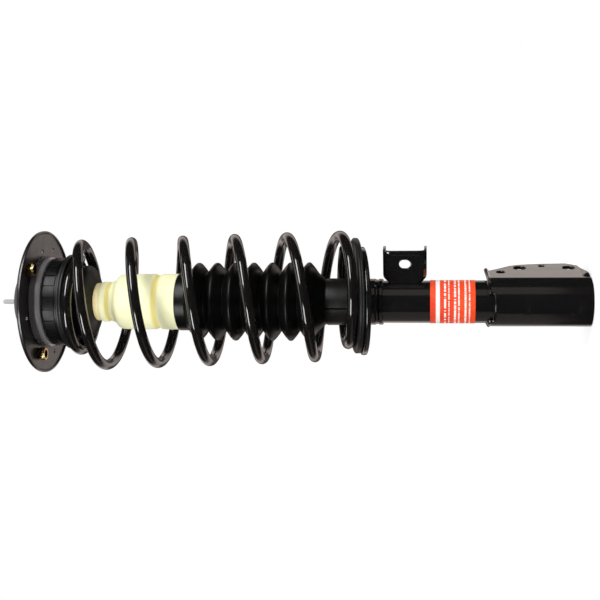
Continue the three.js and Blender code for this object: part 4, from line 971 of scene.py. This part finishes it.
def clevis():
    """A sheet wrapped round the tube's back, with two ears. s runs round the wrap from ear tip to ear tip."""
    half_wrap = math.pi * CLEVIS_INNER / 2

    def up(reach, height):
        return half_wrap + reach, CLEVIS_FOOT + height

    lip_edge = CLEVIS_TOP + 8.5
    right = [up(0, 0), up(CLEVIS_REACH - 24, 5.5), up(CLEVIS_REACH - 11.5, 7), up(CLEVIS_REACH, 22),
             up(CLEVIS_REACH - 0.3, 30), up(CLEVIS_REACH - 1.5, 53), up(CLEVIS_REACH - 5.5, 77.5),
             up(CLEVIS_REACH - 10.5, 90), up(CLEVIS_REACH - 21.5, 102.5), up(29, 118.2),
             (half_wrap + 27.5, lip_edge), (half_wrap, lip_edge), (RECESS_HALF + 4, lip_edge - 1),
             (RECESS_HALF + 0.5, lip_edge - 4), (RECESS_HALF, CLEVIS_TOP - RECESS_DEPTH)]
    outline = soften(right + [(-s, h) for s, h in reversed(right)], 3)
    dimples = [(0, CLEVIS_FOOT + height - 2) for height in BOLT_HEIGHTS]
    spots = []  # rings of points that follow the dimples' slopes
    for dimple in dimples:
        spots.append(dimple)
        for radius in (1.6, 3.0, 4.0, 4.7, 5.4, 6.2, 7.4):
            spots += circle(*dimple, radius, 24)
    holes = []
    for side in (-1, 1):
        for height in BOLT_HEIGHTS:
            holes.append(circle(side * (half_wrap + 42.5), CLEVIS_FOOT + height, 7))
        holes.append(circle(side * (half_wrap + 24.6), CLEVIS_FOOT + 102, 4.7))
        holes.append(circle(side * (half_wrap + 50.4), CLEVIS_FOOT + 52, 3.2, 20))

    def place(s, h):
        beyond = max(0, abs(s) - half_wrap)
        along = min(1, beyond / 27)
        over = max(0, h - CLEVIS_TOP + 2.5)
        turn = min(over / 4.5, 1)
        flare = mix(2.0, 6.5, along) * (turn * turn * 0.3 + max(0, over - 4.5) * 0.12)
        rise = h - over + over * mix(0.36, 0.6, along)
        flare += 3.0 * smooth((CLEVIS_FOOT + 9 - h) / 6) * smooth((beyond - 3) / 8)
        radius = CLEVIS_INNER + flare
        if abs(s) < half_wrap:
            angle = s / CLEVIS_INNER
            return -radius * math.cos(angle), -radius * math.sin(angle), rise
        return beyond, -math.copysign(radius, s), rise

    def thickness(s, h):
        away = min(math.hypot(s - x, h - y) for x, y in dimples)
        pit = smooth((5.4 - away) / 3.2)
        ring = smooth(1 - abs(away - 5.6) / 1.3)
        flattened = CLEVIS_INNER + CLEVIS_SHEET
        angle = abs(s) / CLEVIS_INNER
        if math.pi / 2 - 2 * FOLD_HALF < angle < math.pi / 2:
            flattened *= math.cos(FOLD_HALF) / math.cos(angle - math.pi / 2 + FOLD_HALF)
        return flattened - CLEVIS_INNER - 0.5 * pit + 0.16 * ring

    sheet_metal("clevis", outline, holes, place, thickness, "clevis_bracket", 2.2, spots)


# The reaches are measured out from the rod's axis, the depths back from the plate's face.
LINK_PLATE_X = -6.6
LINK_REACH = 65.5
LINK_WIDTH = 51
LINK_FOOT_WIDTH = 39
LINK_SHEET = 3
LINK_WALL_DEPTH = 21.5
LINK_WALL_FOOT_DEPTH = 10
LINK_SLOT_REACH = 47.8
LINK_SLOT_RADIUS = 5.2
LINK_SLOT_LENGTH = 13.2
LINK_TAPER_HEIGHT = 9
LINK_BEND = 4


def link_bracket():
    """A pressed tray: s runs across it from wall edge to wall edge, h out from the tube."""
    middle_z = sum(ends("link_bracket")) / 2
    inner_bend = LINK_BEND - LINK_SHEET
    flat = LINK_WIDTH / 2 - LINK_BEND
    quarter = inner_bend * math.pi / 2
    wall = LINK_WALL_DEPTH - LINK_BEND
    foot_wall = LINK_WALL_FOOT_DEPTH - LINK_BEND
    root, bend = 23.5, TUBE_RADIUS + LINK_TAPER_HEIGHT
    edge, foot_edge = flat + quarter + wall, flat + quarter + foot_wall
    right = [(foot_edge - 4, root), (foot_edge, bend), (edge, LINK_REACH - 8), (edge, LINK_REACH, 5),
             (flat + quarter + 3, LINK_REACH - 0.3, 3), (flat - 1, LINK_REACH - 1.5, 3)]
    outline = soften([(*p, 2.5)[:3] for p in right] + [(-p[0], *p[1:], 2.5)[:3] for p in reversed(right)], 2)
    slot = circle(0, LINK_SLOT_REACH, LINK_SLOT_RADIUS, 36, LINK_SLOT_LENGTH - 2 * LINK_SLOT_RADIUS)

    def place(s, h):
        narrow = (LINK_WIDTH - LINK_FOOT_WIDTH) / 2 * smooth((bend - h) / LINK_TAPER_HEIGHT)
        side, beyond = math.copysign(1, s), max(0, abs(s) - flat)
        if beyond <= 0:
            z, x = s, 0.0
        elif beyond < quarter:
            angle = beyond / inner_bend
            z, x = side * (flat + inner_bend * math.sin(angle)), inner_bend * (1 - math.cos(angle))
        else:
            z, x = side * (flat + inner_bend), inner_bend + beyond - quarter
        z -= side * narrow * min(1, abs(s) / flat)
        x -= 0.9 * smooth((h - LINK_REACH + 6.5) / 2) * smooth((flat - abs(s)) / 5)
        return LINK_PLATE_X + LINK_SHEET + x, -h, middle_z - z

    sheet_metal("link_tray", outline, [slot], place, lambda s, h: LINK_SHEET, "link_bracket", 1.6)


# ---------- the CAD pieces inside keep their shape ----------

INNER_FINISHES = {
    "steel": ("bearing_upper_race", "ball_cage", "bearing_lower_race", "rebound_stop", "piston_nut", "tube_cap",
              "pressure_tube"),
    "rubber": ("rebound_cushion", "rod_seal"),
    "sintered_iron": ("piston", "rod_guide", "base_valve"),
    "band_plastic": ("piston_band",),
    "black_paint": ("tube_end_cap",),
}


def dress_inner_pieces():
    for finish, nodes in INNER_FINISHES.items():
        for node in nodes:
            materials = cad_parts[node].data.materials
            materials.clear()
            materials.append(FINISHES[finish])


# ---------- studio ----------


def softbox(name, place, size, energy, target, colour=(1, 1, 1)):
    light = bpy.data.lights.new(name, "AREA")
    light.shape = "RECTANGLE"
    light.size, light.size_y = size
    light.energy = energy
    light.color = colour
    lamp = link(name, light)
    lamp.location = place
    lamp.rotation_mode = "QUATERNION"
    lamp.rotation_quaternion = (Vector(target) - Vector(place)).to_track_quat("-Z", "Y")


ROOM_GLOW = 0.02  # what gloss mirrors on the camera's side of the room
BACKDROP_GLOW = 0.85
ROOM_FILL = 0.6
BACKDROP_COLOUR = (1, 0.88, 0.82)
PANEL_COLOUR = (1, 0.86, 0.78)


def backdrop_share(n):
    """From ROOM_GLOW on the camera's side to bright beside the backdrop, and dim straight behind but for low down."""
    direction = n.add("ShaderNodeTexCoord").outputs["Generated"]
    facing = n.add("ShaderNodeVectorMath", {0: direction, 1: -to_camera}, operation="DOT_PRODUCT").outputs["Value"]
    height = n.add("ShaderNodeSeparateXYZ", {0: direction}).outputs["Z"]
    level = n.math("MAXIMUM", n.ramp(facing, 0.835, 0.93, 1.0, 0.12), n.ramp(height, -0.32, -0.2, 1.0, 0.0))
    return n.math("MULTIPLY", n.ramp(facing, 0.6, 0.82, ROOM_GLOW, BACKDROP_GLOW), level)


def make_world():
    """White to the camera, an even fill to rough surfaces, and the backdrop to mirrored rays."""
    world = bpy.data.worlds.new("studio")
    bpy.context.scene.world = world
    n = Nodes(world)
    kind = "ShaderNodeBackground"
    lit = n.mixed(n.mirrored(), n.glow(kind, ROOM_FILL), n.glow(kind, backdrop_share(n), BACKDROP_COLOUR))
    n.show(n.mixed(n.ray("Camera"), lit, n.glow(kind, 1.0)))


def make_floor():
    """Pale under the part, with its shadow, and white further out. Mirrored rays pass through it."""
    z = cad_low.z - 0.5 * MM
    mesh = bpy.data.meshes.new("floor")
    mesh.from_pydata([(-40, -40, z), (40, -40, z), (40, 40, z), (-40, 40, z)], [], [(0, 1, 2, 3)])
    link("floor", mesh)
    n = finish_nodes("floor")
    mesh.materials.append(n.finish((0.82, 0.82, 0.82), 0.8))
    kind = "ShaderNodeEmission"
    diffuse = n.add("ShaderNodeBsdfDiffuse", {"Color": (0.5, 0.5, 0.5)}).outputs[0]
    shadowed = n.add("ShaderNodeAddShader", {0: diffuse, 1: n.glow(kind, 0.6)}).outputs[0]
    distance = n.add("ShaderNodeVectorMath", {0: n.place}, operation="LENGTH").outputs["Value"]
    shown = n.mixed(n.ramp(distance, 0.75, 1.25), shadowed, n.glow(kind, 1.0))
    lit = n.mixed(n.ray("Camera"), n.tree.nodes["Principled BSDF"].outputs[0], shown)
    n.show(n.mixed(n.mirrored(), lit, n.add("ShaderNodeBsdfTransparent").outputs[0]))


def make_studio():
    make_floor()
    make_world()
    middle = Vector((0, 0, -0.3))
    upper = to_camera * 1.15 + picture_up * 1.1 + to_tower * 0.75
    lower = to_camera * 1.3 - picture_up * 0.9 + to_tower * 0.75
    softbox("upper_softbox", middle + upper, (1.3, 0.5), 18, middle)
    softbox("lower_softbox", middle + lower, (0.9, 0.5), 12.5, middle)
    softbox("overhead", (0, 0, 2.2), (2.5, 2.5), 20, middle)
    # Dim level panels that the tube and the clevis mirror as two soft bands.
    level = Vector((0, 0, -0.48))
    for name, degrees, width, energy in (("upper_panel", 52, 1.0, 0.5), ("lower_panel", -95, 2.4, 0.8)):
        turn = math.radians(degrees)
        across = to_camera * math.cos(turn) + picture_up * math.sin(turn)
        softbox(name, level + across * 1.6, (width, 0.7), energy, level, PANEL_COLOUR)
    bpy.context.scene.view_settings.view_transform = "Standard"


make_camera()
mount_plate()
mount_core()
piston_rod()
bearing_housing()
upper_seat()
coil_spring()
bump_stop()
dust_boot()
lower_seat()
seat_collar()
damper_tube()
clevis()
link_bracket()
dress_inner_pieces()
make_studio()

bpy.context.view_layer.update()
